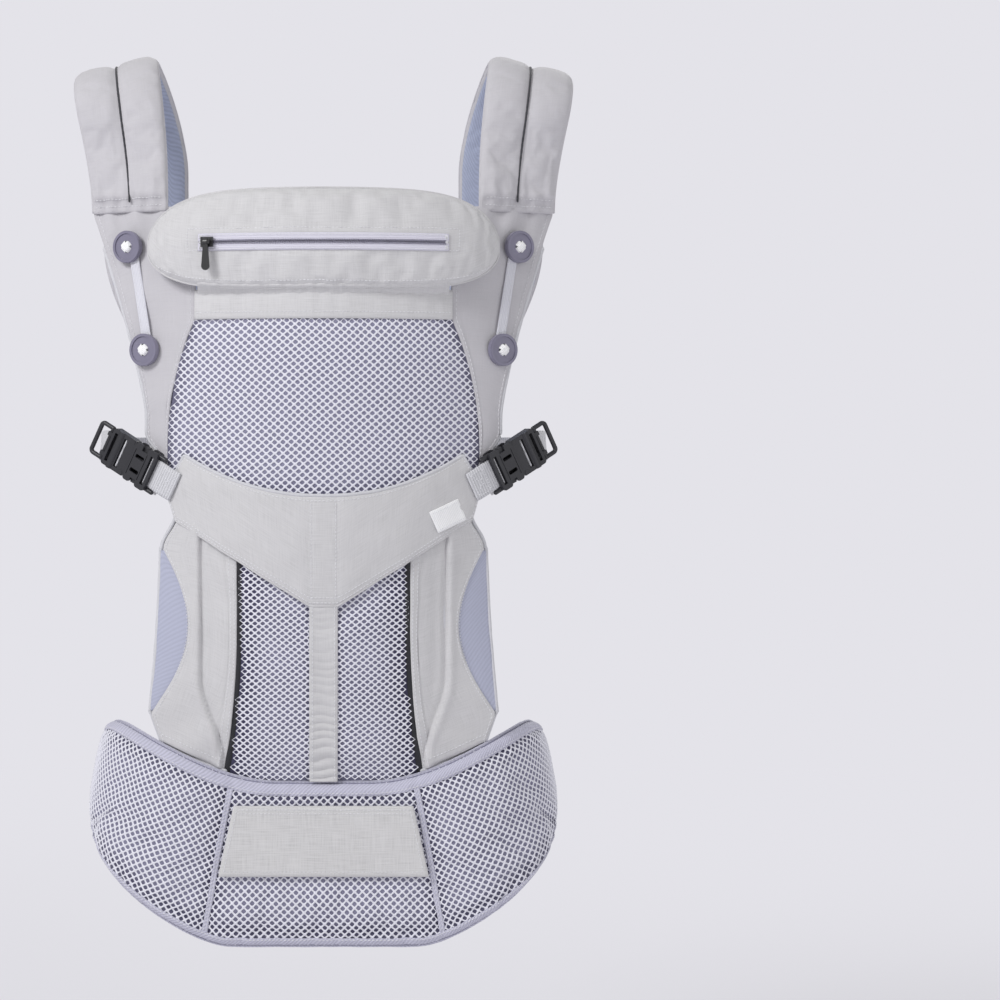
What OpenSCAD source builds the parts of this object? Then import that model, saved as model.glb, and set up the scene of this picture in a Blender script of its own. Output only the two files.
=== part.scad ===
// Soft baby carrier, shaped as it hangs when worn.
// Frame: +Z up, the wearer stands at +Y, the outer face looks to -Y.
// Origin: centre of the front face of the pouch patch on the waistband. Millimetres.

/* [Waistband] */
// Half length of the straight front and back runs of the waist loop
waist_flat = 90; // [80:1:100]
// Plan radius of the waist loop's sides
waist_r = 105; // [95:1:115]
// Lowest point of the waistband
waist_bottom = -91; // [-100:1:-85]
// Height of the waistband's top edge at the centre
waist_top = 49; // [46:1:54]
// Thickness of the waistband's foam
waist_foam_t = 13; // [8:1:16]
// Length of the padded wing, from the front centre along the loop
wing_end = 345; // [320:1:350]
// Width of the waist webbing
waist_web = 40; // [38:1:42]

/* [Panel] */
// Plan radius of the body panel's middle
panel_r = 220; // [200:5:260]
// Angle at which the panel's sides run off straight
panel_turn = 30; // [26:1:32]
// How far the panel bulges out between waistband and headrest
panel_bulge = 32; // [20:1:36]
// Thickness of the panel's outer fabrics
layer_t = 2.4; // [1.5:0.1:2.6]
// Width of the centre strip
strip_w = 23; // [18:1:26]

/* [Headrest] */
// Half width of the headrest
head_w = 150; // [144:0.5:151]
// Thickness of the headrest in its middle
head_t = 26; // [20:1:28]
// Plan radius of the headrest
head_r = 300; // [280:10:340]
// Half length of the pocket zip
zip_half = 106; // [90:1:108]

/* [Shoulder straps] */
// Width of the padded strap
strap_w = 76; // [68:1:78]
// Thickness of the strap's foam
strap_foam_t = 10; // [8:1:11]
// Radius of the arch over the shoulder, at the middle of the strap
arch_r = 56; // [50:1:60]
// Height at which the padded strap starts
strap_foot = 541; // [540:1:546]
// Height of the arch's centre
arch_z = 615; // [600:1:622]
// Height of the strap's lower end, behind
strap_tip = 350; // [345:1:370]
// Distance from the middle to the strap's centre line, behind
strap_x = 163; // [160:1:165]

/* [Buckles and buttons] */
// Width of the side webbing
side_web = 25; // [25:1:27]
// Radius of the buttons
button_r = 14; // [12:0.5:14]
// Slope of the side buckles above the horizontal
side_slope = 28.4; // [20:0.2:32]
// Running clearance of prong roots and loop rods
run_gap = 0.08; // [0.02:0.01:0.1]

/* [Hidden] */
$fn = 48;

fabric = "#cccbce";
mesh_fabric = "#d6d6e6";
insert_fabric = "#bfc3da";
liner_blue = "#9aa2bb";
plastic_black = "#26262b";
button_grey = "#6a6880";
foam_white = "#eeeee6";
tape_white = "#f0f0f4";

// ---------------------------------------------------------------- small functions

function clamp01(t) = max(0, min(1, t));
function smooth(t) = let(c = clamp01(t)) c * c * (3 - 2 * c);
function mix(a, b, t) = a + (b - a) * t;
function unit(v) = v / norm(v);

// One closed sheet. at(s, t, k) gives its points: s runs 0 to 1 to the right, t 0 to 1 upwards,
// and k is 0 on the outer face and 1 on the inner face.
module sheet(columns, rows, at) {
    wide = columns + 1;
    all = wide * (rows + 1);
    function o(i, j) = j * wide + i;
    function b(i, j) = all + j * wide + i;
    points = [for (k = [0, 1]) for (j = [0 : rows]) for (i = [0 : columns])
        at(i / columns, j / rows, k)];
    faces = concat(
        [for (j = [0 : rows - 1]) for (i = [0 : columns - 1]) each [
            [o(i, j), o(i, j + 1), o(i + 1, j + 1)], [o(i, j), o(i + 1, j + 1), o(i + 1, j)],
            [b(i, j), b(i + 1, j + 1), b(i, j + 1)], [b(i, j), b(i + 1, j), b(i + 1, j + 1)]]],
        [for (i = [0 : columns - 1]) each [
            [o(i, 0), o(i + 1, 0), b(i + 1, 0)], [o(i, 0), b(i + 1, 0), b(i, 0)],
            [o(i + 1, rows), o(i, rows), b(i, rows)],
            [o(i + 1, rows), b(i, rows), b(i + 1, rows)]]],
        [for (j = [0 : rows - 1]) each [
            [o(0, j + 1), o(0, j), b(0, j)], [o(0, j + 1), b(0, j), b(0, j + 1)],
            [o(columns, j), o(columns, j + 1), b(columns, j + 1)],
            [o(columns, j), b(columns, j + 1), b(columns, j)]]]);
    polyhedron(points, faces, convexity = 10);
}

module pair() {
    children();
    mirror([1, 0, 0]) children();
}

// ---------------------------------------------------------------- waistband

patch_t = 2.2;
waist_y = 2.8;
cover_t = 2.2;
skin_gap = 0.7;
foam_d0 = cover_t + skin_gap;
foam_d1 = foam_d0 + waist_foam_t;
lining_d0 = foam_d1 + skin_gap;
lining_d1 = lining_d0 + 1.6;
web_d = 9;
web_t = 2;
half_turn = PI * waist_r;
seam_top = 78;
seam_bottom = 104;
web_z = 41;

// Angle in degrees that the loop has turned through at arc length u from the front centre
function loop_turn(u) = 180 / PI * max(0, min(half_turn, abs(u) - waist_flat)) / waist_r;
function side_of(u) = u < 0 ? -1 : 1;
function loop_normal(u) = let(a = loop_turn(u)) [side_of(u) * sin(a), -cos(a)];
function loop_base(u) =
    let(a = loop_turn(u), run = min(abs(u), waist_flat),
        back = max(0, abs(u) - waist_flat - half_turn))
    [side_of(u) * (run + waist_r * sin(a) - back), waist_y + waist_r * (1 - cos(a))];
function band_top(u) = let(a = abs(u))
    waist_top + 46 * smooth((a - 40) / 170) - 35 * smooth((a - 210) / 125);
function band_bottom(u) = let(a = abs(u))
    waist_bottom + 112 * smooth((a - 75) / 215);
// The hips are wider than the waist, so the wings lean out towards their lower edge
flare_top = waist_top + 50;
function flare(u, z) = 0.18 * (flare_top - z) * smooth((abs(u) - waist_flat) / 120);
function band_point(u, z, d) =
    let(n = loop_normal(u), p = loop_base(u) + n * (flare(u, z) - d)) [p[0], p[1], z];
// The wings end in a round tip
function tip_share(u) = let(t = clamp01((abs(u) - (wing_end - 24)) / 24)) sqrt(1.02 - t * t);
function band_z(u, t) =
    let(lo = band_bottom(u), hi = band_top(u), half = (hi - lo) / 2 * tip_share(u))
    (lo + hi) / 2 + half * (2 * t - 1);

module waist_foam() {
    color(foam_white) sheet(60, 4, function(s, t, k)
        let(u = mix(4 - wing_end, wing_end - 4, s), z = mix(band_z(u, 0) + 2, band_z(u, 1) - 2, t),
            thin = 3 * pow(abs(2 * t - 1), 6))
        band_point(u, z, k == 0 ? foam_d0 + thin : foam_d1 - thin));
}

module waist_mesh_centre() {
    color(mesh_fabric) sheet(14, 3, function(s, t, k)
        let(half = mix(seam_bottom, seam_top, t) - 0.6, u = mix(-half, half, s))
        band_point(u, band_z(u, t), k * cover_t));
}

module waist_wing_mesh() {
    color(mesh_fabric) sheet(22, 3, function(s, t, k)
        let(u = mix(mix(seam_bottom, seam_top, t) + 0.6, wing_end, s))
        band_point(u, band_z(u, t), k * cover_t));
}

module waist_lining() {
    color(fabric) sheet(60, 2, function(s, t, k)
        let(u = mix(-wing_end, wing_end, s))
        band_point(u, band_z(u, t), k == 0 ? lining_d0 : lining_d1));
}

patch_half_top = 77;
patch_half_bottom = 90;
patch_half_h = 30.5;

module pouch_patch() {
    color(fabric) translate([0, patch_t, 0]) rotate([90, 0, 0]) linear_extrude(patch_t)
        polygon([[-patch_half_bottom, -patch_half_h], [patch_half_bottom, -patch_half_h],
            [patch_half_top, patch_half_h], [-patch_half_top, patch_half_h]]);
}

// Webbing from each wing's tip round to the waist buckle, behind the wearer
buckle_y = waist_y + 2 * waist_r - web_d - web_t / 2;
waist_k = 1.25;
waist_plug_shift = (web_t / 2 + 4 * waist_k + 0.5);
waist_buckle_x = 20;
waist_buckle_web = waist_web / waist_k;

module waist_webbing() {
    u_start = wing_end + 3;
    u_back = waist_flat + half_turn;
    color(fabric) {
        // socket side: rises to the middle of the buckle
        sheet(14, 1, function(s, t, k)
            let(u = mix(u_start, u_back + waist_flat - waist_buckle_x - 0.6, s),
                rise = waist_plug_shift * smooth((u - u_back) / 60),
                p = band_point(u, flare_top, web_d - rise + k * web_t))
            [p[0], p[1], web_z + waist_web * (t - 0.5)]);
        at_waist() slot_turn(waist_buckle_web);
        // plug side: passes between wearer and plug, so that the plug can travel along it
        mirror([1, 0, 0]) sheet(14, 1, function(s, t, k)
            let(u = mix(u_start, u_back + waist_flat - 34, s),
                p = band_point(u, flare_top, web_d + k * web_t))
            [p[0], p[1], web_z + waist_web * (t - 0.5)]);
    }
}

// ---------------------------------------------------------------- body panel surface

panel_foot = waist_top;
panel_head = 560;
fold_z = 471;
panel_run = panel_r * sin(panel_turn);
panel_mid = 446;
yoke_foot = 319;

function plan(x) = let(a = abs(x))
    a < panel_run ? panel_r - sqrt(panel_r * panel_r - a * a)
    : panel_r * (1 - cos(panel_turn)) + tan(panel_turn) * (a - panel_run);
function middle_y(z) = 12 - panel_bulge * sin(180 * clamp01((z - panel_foot) / (panel_head - panel_foot)));
function side_gain(z) = mix(0.42, 1, smooth((z - 60) / 200));
function panel_y(x, z) = middle_y(z) + side_gain(z) * plan(x);
function on_panel(x, z, ahead) = [x, panel_y(x, z) - ahead, z];

// Arc length along the waist loop above which a panel point at x stands
function loop_u(x) = abs(x) <= waist_flat ? abs(x)
    : waist_flat + PI / 180 * waist_r * asin(min(1, (abs(x) - waist_flat) / waist_r));
function above_band(x) = band_top(loop_u(x)) + 1.5;

// Outlines of the panel's fabrics, right-hand side
function mesh_edge(z) = 133 - 24 * pow(clamp01((z - 330) / 116), 2.2);
function yoke_inner(z) = z < panel_mid ? mesh_edge(z) + 1
    : mix(110, 132, smooth((z - fold_z) / 78));
function yoke_outer(z) = z < 350 ? mix(134, 152, smooth((z - 318) / 32))
    : 152 + 50 * pow(clamp01((z - 365) / 175), 1.25);
function band_upper(x) = let(a = abs(x))
    a < 119 ? 296 + 34 * pow(a / 119, 2.2) : mix(330, 301, (a - 119) / 15);
function band_lower(x) = let(a = abs(x))
    a < 126 ? 202 + max(0, a - strip_w / 2) * 0.62 : mix(273, 299, (a - 126) / 8);
function binding_x(z) = 70 + 11 * pow(clamp01((190 - z) / 132), 2);
function insert_inner(z) = let(t = clamp01((z - 108) / 141)) mix(148, 138, t) - 27 * sin(180 * t);
function insert_outer(z) = let(t = clamp01((z - 108) / 141)) mix(149, 139.5, t) - 1.5 * sin(180 * t);
function panel_outer(z) = z < 108 ? mix(139, 148, clamp01((z - 83) / 25)) : z < 249 ? insert_inner(z) - 0.8
    : mix(137, 124, smooth((z - 249) / 30));

level1 = [0, layer_t];
level2 = [layer_t + 0.9, layer_t + 3.1];
level3 = [layer_t + 4.0, layer_t + 4.8];
binding_w = 5;

// A fabric piece on the panel. x0(z) and x1(z) bound each row, ahead = [inner, outer] offset.
module panel_rows(z0, z1, columns, rows, ahead, x0, x1) {
    sheet(columns, rows, function(s, t, k)
        let(z = mix(z0, z1, t)) on_panel(mix(x0(z), x1(z), s), z, ahead[1 - k]));
}

// The same, bounded below and above by z0(x) and z1(x)
module panel_columns(x0, x1, columns, rows, ahead, z0, z1) {
    sheet(columns, rows, function(s, t, k)
        let(x = mix(x0, x1, s)) on_panel(x, mix(z0(x), z1(x), t), ahead[1 - k]));
}

module lower_mesh() {
    color(mesh_fabric) sheet(8, 12, function(s, t, k)
        let(row_z = mix(waist_top + 1.5, 258, t), x = mix(-1, 1, s) * (binding_x(row_z) - 0.8),
            z = max(row_z, above_band(x)))
        on_panel(x, z, level1[1 - k]));
}

module edge_bindings() {
    color(plastic_black) pair() panel_rows(above_band(80), 258, 1, 12, level1,
        function(z) binding_x(z), function(z) binding_x(z) + binding_w - 0.8);
}

module side_panel() {
    color(fabric) sheet(5, 14, function(s, t, k)
        let(z_in = mix(above_band(88), 268, t), x_in = binding_x(z_in) + binding_w,
            z_out = mix(84, 274, t), x_out = panel_outer(z_out), x = mix(x_in, x_out, s),
            z = max(mix(z_in, z_out, s), above_band(x)))
        on_panel(x, z, level1[1 - k]));
}

module side_inserts() {
    color(insert_fabric) pair() panel_rows(113, 244, 2, 10, level1,
        function(z) insert_inner(z), function(z) insert_outer(z));
}

module seat_band() {
    color(fabric) panel_columns(-133.4, 133.4, 24, 4, level2,
        function(x) band_lower(x), function(x) band_upper(x));
}

module centre_strip() {
    color(fabric) panel_rows(waist_top + 1.5, 201, 1, 10, level2,
        function(z) -strip_w / 2, function(z) strip_w / 2);
}

module upper_mesh() {
    color(mesh_fabric) sheet(12, 8, function(s, t, k)
        let(x = mix(-1, 1, s), z = mix(band_upper(110 * x) - 12, panel_mid, t))
        on_panel(x * (mesh_edge(z) - 0.4), z, level1[1 - k]));
}

module top_band() {
    color(fabric) panel_rows(panel_mid + 0.8, fold_z - 1.2, 10, 1, level1, function(z) -109, function(z) 109);
}

// The yokes stop short of the padded straps, which swing about their feet
yoke_top = strap_foot - 10;
module yoke() {
    color(fabric) panel_rows(yoke_foot, yoke_top, 4, 18, level1,
        function(z) yoke_inner(z), function(z) yoke_outer(z));
}

lining_foot = 86;
lining_turn = 280;
function lining_half(z) = z < lining_turn ? panel_outer(z) - 1
    : mix(panel_outer(z) - 1, yoke_outer(z) - 6, smooth((z - lining_turn) / 60));

module panel_lining() {
    color(fabric) sheet(14, 18, function(s, t, k)
        let(z = mix(lining_foot, fold_z - 1.2, t), half = lining_half(z))
        on_panel(mix(-half, half, s), z, k == 0 ? -0.9 : -2.4));
}

tag_x = 106;
tag_z = 278;
module label_tag() {
    color(tape_white) sheet(3, 2, function(s, t, k)
        let(dx = 27 * (s - 0.5), dz = 19 * (t - 0.5), a = 24,
            x = tag_x + dx * cos(a) - dz * sin(a), z = tag_z + dx * sin(a) + dz * cos(a))
        on_panel(x, z, level3[1 - k]));
}

// ---------------------------------------------------------------- buttons

button_upper = [166, 510];
button_lower = [151, 420];
button_t = 4.6;
hole_r = 5.2;
tape_w = 8;
tape_ahead = [layer_t + 0.8, layer_t + 1.8];
button_ahead = tape_ahead[1] + 0.8;
// the panel leans back under the upper buttons, so they stand further out
upper_lift = 1.5;

module at_button(place) {
    translate([place[0], panel_y(place[0], place[1]), place[1]]) rotate([0, 0, panel_turn])
        rotate([90, 0, 0]) children();
}

module button_body() {
    rotate_extrude() difference() {
        union() {
            translate([hole_r, 0.6]) square([button_r - hole_r - 0.8, button_t - 1.6]);
            translate([button_r - 2.4, 0]) square([2.4, button_t]);
            translate([hole_r, 0.9]) square([1.6, button_t - 1.8]);
        }
        translate([button_r - 0.5, button_t - 0.4]) square(1);
    }
}

module buttons() {
    color(button_grey) pair() {
        at_button(button_upper) translate([0, 0, button_ahead + upper_lift]) button_body();
        at_button(button_lower) translate([0, 0, button_ahead]) button_body();
    }
}

module button_tapes() {
    stub = 6.6;
    color(tape_white) pair() {
        sheet(1, 8, function(s, t, k)
            let(z = mix(button_lower[1] - 8, button_upper[1] + 8, t),
                share = (z - button_lower[1]) / (button_upper[1] - button_lower[1]),
                x = mix(button_lower[0], button_upper[0], share))
            on_panel(x + tape_w * (s - 0.5), z, tape_ahead[1 - k]));
        for (place = [button_upper, button_lower])
            at_button(place) translate([-stub / 2, -stub / 2, tape_ahead[1] + 0.4])
                cube([stub, stub, button_t + 0.6]);
    }
}

// ---------------------------------------------------------------- side-release buckle
// Local frame: the plug leaves along +X, Y is the thickness, Z runs across the webbing.
// A buckle is sized by the width of the webbing that it holds.

socket_len = 24;
socket_half_t = 5;
plate_t = 2;
plug_start = 24.5;
plug_end = 51;
plug_half_t = 4;
slot_spare = 0.7;
prong_root = 26.5;
prong_root_r = 2;
prong_half_t = 2.5;
rod_x = 54;
lug_z = 9.2;

function outer_w(web) = web + 11;
function prong_z(web) = outer_w(web) / 2 - 7.5;

// Rectangle with round corners, from x0 to x1 and to half either side of z
module round_plate(x0, x1, half, r, z = 0) {
    translate([0, z]) {
        translate([x0 + r, -half]) square([x1 - x0 - 2 * r, 2 * half]);
        translate([x0, r - half]) square([x1 - x0, 2 * (half - r)]);
        for (x = [x0 + r, x1 - r]) for (c = [r - half, half - r]) translate([x, c]) circle(r);
    }
}

// Raises an outline in X and Z from y0 to y1
module across(y0, y1) {
    translate([0, y1, 0]) rotate([90, 0, 0]) linear_extrude(y1 - y0) children();
}

// Slot for the webbing, right through the buckle
module web_slot(x, len, web) {
    translate([x, -10, -web / 2 - slot_spare]) cube([len, 20, web + 2 * slot_spare]);
}

// The turn of webbing that passes through a socket's slot
module slot_turn(web) {
    translate([3.1, -3.4, -web / 2]) cube([2.4, 6.8, web]);
}

module socket_plate(web) {
    half = outer_w(web) / 2;
    waist_half = half - 5;
    round_plate(0, 10.5, half, 2.5);
    translate([8, -waist_half]) square([10, 2 * waist_half]);
    round_plate(16.5, socket_len, half - 0.5, 2.2);
}

module socket_horn() {
    horn_r = 2;
    horn_len = 6;
    translate([-horn_len, 0, 0]) {
        rotate([0, 90, 0]) cylinder(h = horn_len + 3, r = horn_r);
        sphere(horn_r);
    }
}

module socket(web) {
    half = outer_w(web) / 2;
    inner = socket_half_t - plate_t;
    rail_z = 4.2;
    rail_t = 1.6;
    difference() {
        union() {
            across(inner, socket_half_t) socket_plate(web);
            across(-socket_half_t, -inner) socket_plate(web);
            across(-4, 4) translate([0, 1.5 - half]) square([8, 2 * half - 3]);
            for (z = [-1, 1]) {
                across(-3.5, 3.5) translate([7, z * rail_z - rail_t / 2]) square([16.4, rail_t]);
                translate([0, 0, z * (half - 2.2)]) socket_horn();
            }
        }
        web_slot(2.6, 3.4, web);
        // two windows in the front plate show the guide rails
        for (z = [-1, 1])
            across(-socket_half_t - 1, -inner + 0.1) round_plate(11, 20.5, 1.7, 1.2, z = z * web * 0.26);
        // shallow grooves edge the raised middle of the front plate
        for (x = [9.2, 21.8]) translate([x, -socket_half_t - 0.5, 6 - half]) cube([0.8, 1, 2 * half - 12]);
    }
}

// Two eyes on the plug's outer end, which the finger loop's rod turns in
module loop_eyes() {
    eye_half = 1.8;
    for (z = [-1, 1]) difference() {
        across(-2.9, 2.9) translate([plug_end - 1, z * lug_z - eye_half])
            square([rod_x - plug_end + 3, 2 * eye_half]);
        translate([rod_x, 0, z * lug_z - 3]) cylinder(h = 6, r = prong_root_r + run_gap);
    }
}

// Tongue that runs between the socket's guide rails
module plug_tongue() {
    across(-1.8, 1.8)
        polygon([[25, -2.6], [25, 2.6], [12.5, 2.6], [11, 1.4], [11, -1.4], [12.5, -2.6]]);
}

// Seat of one sprung prong's round root
module prong_seat(web) {
    translate([prong_root, 0, prong_z(web)]) {
        rotate([90, 0, 0]) cylinder(h = 2 * prong_half_t + 0.4, r = prong_root_r + run_gap, center = true);
        translate([-3, -prong_half_t - 0.2, -1.85]) cube([3, 2 * prong_half_t + 0.4, 3.7]);
    }
}

module plug(web, with_eyes = false) {
    half = outer_w(web) / 2;
    bar_r = 3.2;
    difference() {
        union() {
            across(-plug_half_t, plug_half_t) round_plate(plug_start, plug_end, half - 1, 2.6);
            // raised bar that the webbing turns over
            translate([41.5, -2.6, 1 - half]) cylinder(h = 2 * half - 2, r = bar_r);
            for (z = [-1, 1]) translate([plug_start + 4, 0, z * (half - 3.4)])
                rotate([90, 0, 0]) cylinder(h = 2 * plug_half_t + 0.6, r = 2.2, center = true);
            plug_tongue();
            if (with_eyes) loop_eyes();
        }
        web_slot(33.5, 4.2, web);
        web_slot(45.2, 3.2, web);
        prong_seat(web);
        mirror([0, 0, 1]) prong_seat(web);
    }
}

// One sprung arm, on the +Z side
module prong(web) {
    tip = outer_w(web) / 2 - 1;
    z = prong_z(web);
    across(-prong_half_t, prong_half_t) {
        translate([prong_root, z]) circle(prong_root_r);
        polygon([[prong_root, z - 1.1], [prong_root, z + 1.1], [20.5, z + 2], [17.4, z + 2.4],
            [16.2, tip], [12.6, tip], [10, tip - 3.4], [9.2, z + 1.4], [9.8, z - 0.6],
            [14, z - 1.2], [22, z - 1.2]]);
    }
}

// D-shaped loop on the plug's end
module finger_loop() {
    reach = 12.5;
    arm_z = 14.2;
    corner = 3;
    rod_r = prong_root_r;
    translate([rod_x, 0, -arm_z]) cylinder(h = 2 * arm_z, r = rod_r);
    translate([rod_x + reach, 0, corner - arm_z]) cylinder(h = 2 * (arm_z - corner), r = rod_r);
    for (z = [-1, 1]) {
        translate([rod_x, 0, z * arm_z]) {
            sphere(rod_r);
            rotate([0, 90, 0]) cylinder(h = reach - corner, r = rod_r);
        }
        translate([rod_x + reach - corner, 0, z * (arm_z - corner)]) rotate([90, 0, 0])
            rotate([0, 0, z > 0 ? 0 : -90]) rotate_extrude(angle = 90) translate([corner, 0]) circle(rod_r);
    }
}

// ---------------------------------------------------------------- side buckles

side_at = [146, 22.4, 314];
module at_side() {
    translate(side_at) rotate([0, 0, panel_turn]) rotate([0, -side_slope, 0]) children();
}

function side_axis(v) =
    let(b = side_slope, g = panel_turn,
        x = v[0] * cos(b) - v[2] * sin(b), z = v[0] * sin(b) + v[2] * cos(b))
    [side_at[0] + x * cos(g) - v[1] * sin(g), side_at[1] + x * sin(g) + v[1] * cos(g), side_at[2] + z];

module side_tabs() {
    color(fabric) pair() at_side() {
        translate([-17, -1, -side_web / 2]) cube([16.5, 2, side_web]);
        slot_turn(side_web);
    }
}

// Padded fabric tongue that lies behind each side buckle
module buckle_pads() {
    color(fabric) pair() at_side() translate([-4.5, 0, -5]) sheet(4, 2, function(s, t, k)
        let(half = mix(19, 13, s)) [42.5 * s, (k == 0 ? 7 : 10.5) + 2 * (1 - s), half * (2 * t - 1)]);
}

web_b0 = side_axis([49, 6.2, 0]);
web_b1 = [214, 96, 342];
web_b2 = [196, 204, 324];
web_b3 = [137, 208, 334];
function bezier(a, b, c, d, t) = let(r = 1 - t)
    a * r * r * r + b * 3 * r * r * t + c * 3 * r * t * t + d * t * t * t;
function bezier_dir(a, b, c, d, t) = let(r = 1 - t)
    unit((b - a) * r * r + (c - b) * 2 * r * t + (d - c) * t * t);

// Side webbing on the curve from the buckle round to the strap behind, from share t0 to t1
module side_ribbon(t0, t1, columns, inward = 0) {
    lean = side_axis([0, 0, 1]) - side_axis([0, 0, 0]);
    sheet(columns, 1, function(s, t, k)
        let(q = mix(t0, t1, s), p = bezier(web_b0, web_b1, web_b2, web_b3, q),
            along = bezier_dir(web_b0, web_b1, web_b2, web_b3, q),
            across_dir = unit(mix(lean, [0, 0, 1], smooth(q * 2.5))),
            out = unit(cross(along, across_dir)))
        p + across_dir * side_web * (t - 0.5) - out * (k * 1.8) - [inward, 0, 0]);
}

module side_webbing() {
    color(fabric) {
        side_ribbon(0, 0.4, 9);
        at_side() translate([34.3, -3, -side_web / 2]) cube([2.6, 7, side_web]);
    }
}

module strap_webbings() {
    color(fabric) pair() side_ribbon(0.56, 1, 9, inward = 4.5);
}

// ---------------------------------------------------------------- headrest

head_mid_z = 507;
head_shift = 6;
function head_upper(x) = head_mid_z + 49 * sqrt(max(0.001, 1 - pow(abs(x) / (head_w + 0.3), 4.6)));
function head_lower(x) = head_mid_z - 36 * sqrt(max(0.001, 1 - pow(abs(x) / (head_w + 0.3), 5)));
function head_y(x, z) = middle_y(z) - head_shift + head_r - sqrt(head_r * head_r - x * x);
// Puffed thickness: full over the middle, thin at the hems
function head_puff(x, t) =
    max(0.22, sqrt(max(0, 1 - pow(abs(2 * t - 1), 3))) * sqrt(max(0, 1 - pow(abs(x) / head_w, 6))));
zip_z = 510;
zip_centre_y = middle_y(zip_z) - head_shift + head_r;
zip_r = head_r + head_t / 2 + 1.6;

// A layer of the headrest between d0 and d1, shares of the puffed half thickness, -1 front to 1 back
module head_layer(d0, d1, trim, columns = 18, rows = 8) {
    sheet(columns, rows, function(s, t, k)
        let(x = (head_w - trim) * sin(90 * (2 * s - 1)),
            z = mix(head_lower(x) + trim, head_upper(x) - trim, t),
            half = head_t / 2 * head_puff(x, t), d = k == 0 ? d0 : d1)
        [x, head_y(x, z) + d[0] * half + d[1], z]);
}

module headrest_front() {
    color(fabric) head_layer([-1, 0], [-1, 1.2], 0);
}

module headrest_back() {
    color(fabric) head_layer([1, -1.2], [1, 0], 0);
}

module headrest_foam() {
    color(foam_white) head_layer([-1, 2.0], [1, -2.0], 2.5);
}

module headrest_loops() {
    color(tape_white) pair() sheet(2, 1, function(s, t, k)
        let(x = mix(129, head_w + 1.2, s), z = 504 + 8 * t)
        [x, head_y(x, 508) + head_t / 2 * head_puff(x, 0.5) + 0.9 + k * 1.2, z]);
}

zip_angle = asin(zip_half / zip_r);
module zip_arc(r0, r1, z0, z1, a0, a1) {
    translate([0, zip_centre_y, z0]) rotate([0, 0, -90 + a0]) rotate_extrude(angle = a1 - a0)
        translate([r0, 0]) square([r1 - r0, z1 - z0]);
}

tape_face = zip_r + 1;
coil_face = tape_face + 0.9;
module zip_tape() {
    color(tape_white) {
        zip_arc(zip_r, tape_face, zip_z - 7, zip_z + 7, -zip_angle, zip_angle);
        zip_arc(tape_face - 0.2, coil_face, zip_z - 1.8, zip_z - 0.2, -zip_angle + 0.6, zip_angle - 0.6);
        zip_arc(tape_face - 0.2, coil_face, zip_z + 0.2, zip_z + 1.8, -zip_angle + 0.6, zip_angle - 0.6);
    }
}

slider_angle = -zip_angle + 1.6;
slider_gap = 0.25;
pull_pin_r = 1.1;
pull_out = coil_face + slider_gap + 2 + 2.6;

// Local frame on the zip: X along it, Y out from it, Z up
module at_slider() {
    translate([0, zip_centre_y, zip_z]) rotate([0, 0, slider_angle]) rotate([0, 0, 180]) children();
}

module zip_slider() {
    face = coil_face + slider_gap;
    color(plastic_black) at_slider() {
        difference() {
            translate([-5.5, face, -4.2]) cube([11, 2, 8.4]);
            for (z = [-1, 1]) translate([-7, face + 1, z * 6.2 - 1.6]) cube([6, 3, 3.2]);
        }
        for (x = [-1, 1]) translate([x * 2.9 - 0.8, face + 1.5, -1.6])
            cube([1.6, pull_out - face + 0.2, 3.2]);
        translate([-3.4, pull_out, 0]) rotate([0, 90, 0]) cylinder(h = 6.8, r = pull_pin_r);
    }
}

module zip_pull() {
    tab_len = 24;
    tab_r = 3.6;
    color(plastic_black) at_slider() translate([0, pull_out, 0]) {
        difference() {
            union() {
                translate([-1.9, 0, 0]) rotate([0, 90, 0]) cylinder(h = 3.8, r = 2.3);
                translate([0, 0.7, 0]) rotate([90, 0, 0]) linear_extrude(1.4)
                    polygon([[-1.9, 0], [1.9, 0], [2.6, -8], [tab_r, tab_r - tab_len],
                        [-tab_r, tab_r - tab_len], [-2.6, -8]]);
                translate([0, 0.7, tab_r - tab_len]) rotate([90, 0, 0]) cylinder(h = 1.4, r = tab_r);
            }
            translate([-3, 0, 0]) rotate([0, 90, 0]) cylinder(h = 6, r = pull_pin_r + run_gap);
        }
    }
}

// ---------------------------------------------------------------- shoulder straps

arch_y = 136;
foot_y = 68;
tip_y = 206;
foot_x = 169;
top_x = 185;
// The straps run together below this height, behind the panel
bend_z = 520;
bend_run = 120;
bend_in = 37;
front_len = arch_z - strap_foot;
arch_len = PI * arch_r;
back_len = arch_z - strap_tip;
strap_len = front_len + arch_len + back_len;
strap_rows = 44;
crown = front_len + arch_len / 2;

// Angle over the shoulder: 0 in front, 180 behind
function arch_angle(d) = 180 * clamp01((d - front_len) / arch_len);
function back_run(d) = max(0, d - front_len - arch_len);
function bend(d) = (back_run(d) - arch_z + bend_z) / bend_run;
function strap_mid(d) =
    let(a = arch_angle(d), lead = min(d, front_len) / front_len, b = back_run(d) / back_len)
    [mix(foot_x, top_x, smooth(d / crown)) - (top_x - strap_x) * smooth((d - crown) / (arch_len / 2 + 30))
        - bend_in * smooth(bend(d)),
     mix(foot_y, arch_y - arch_r, smooth(lead)) + arch_r * (1 - cos(a)) + (tip_y - arch_y - arch_r) * b,
     strap_foot + min(d, front_len) + arch_r * sin(a) - back_run(d)];
// Unit vector out of the strap's outer face
function strap_out(d) = let(a = arch_angle(d)) [0, -cos(a), sin(a)];
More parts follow.
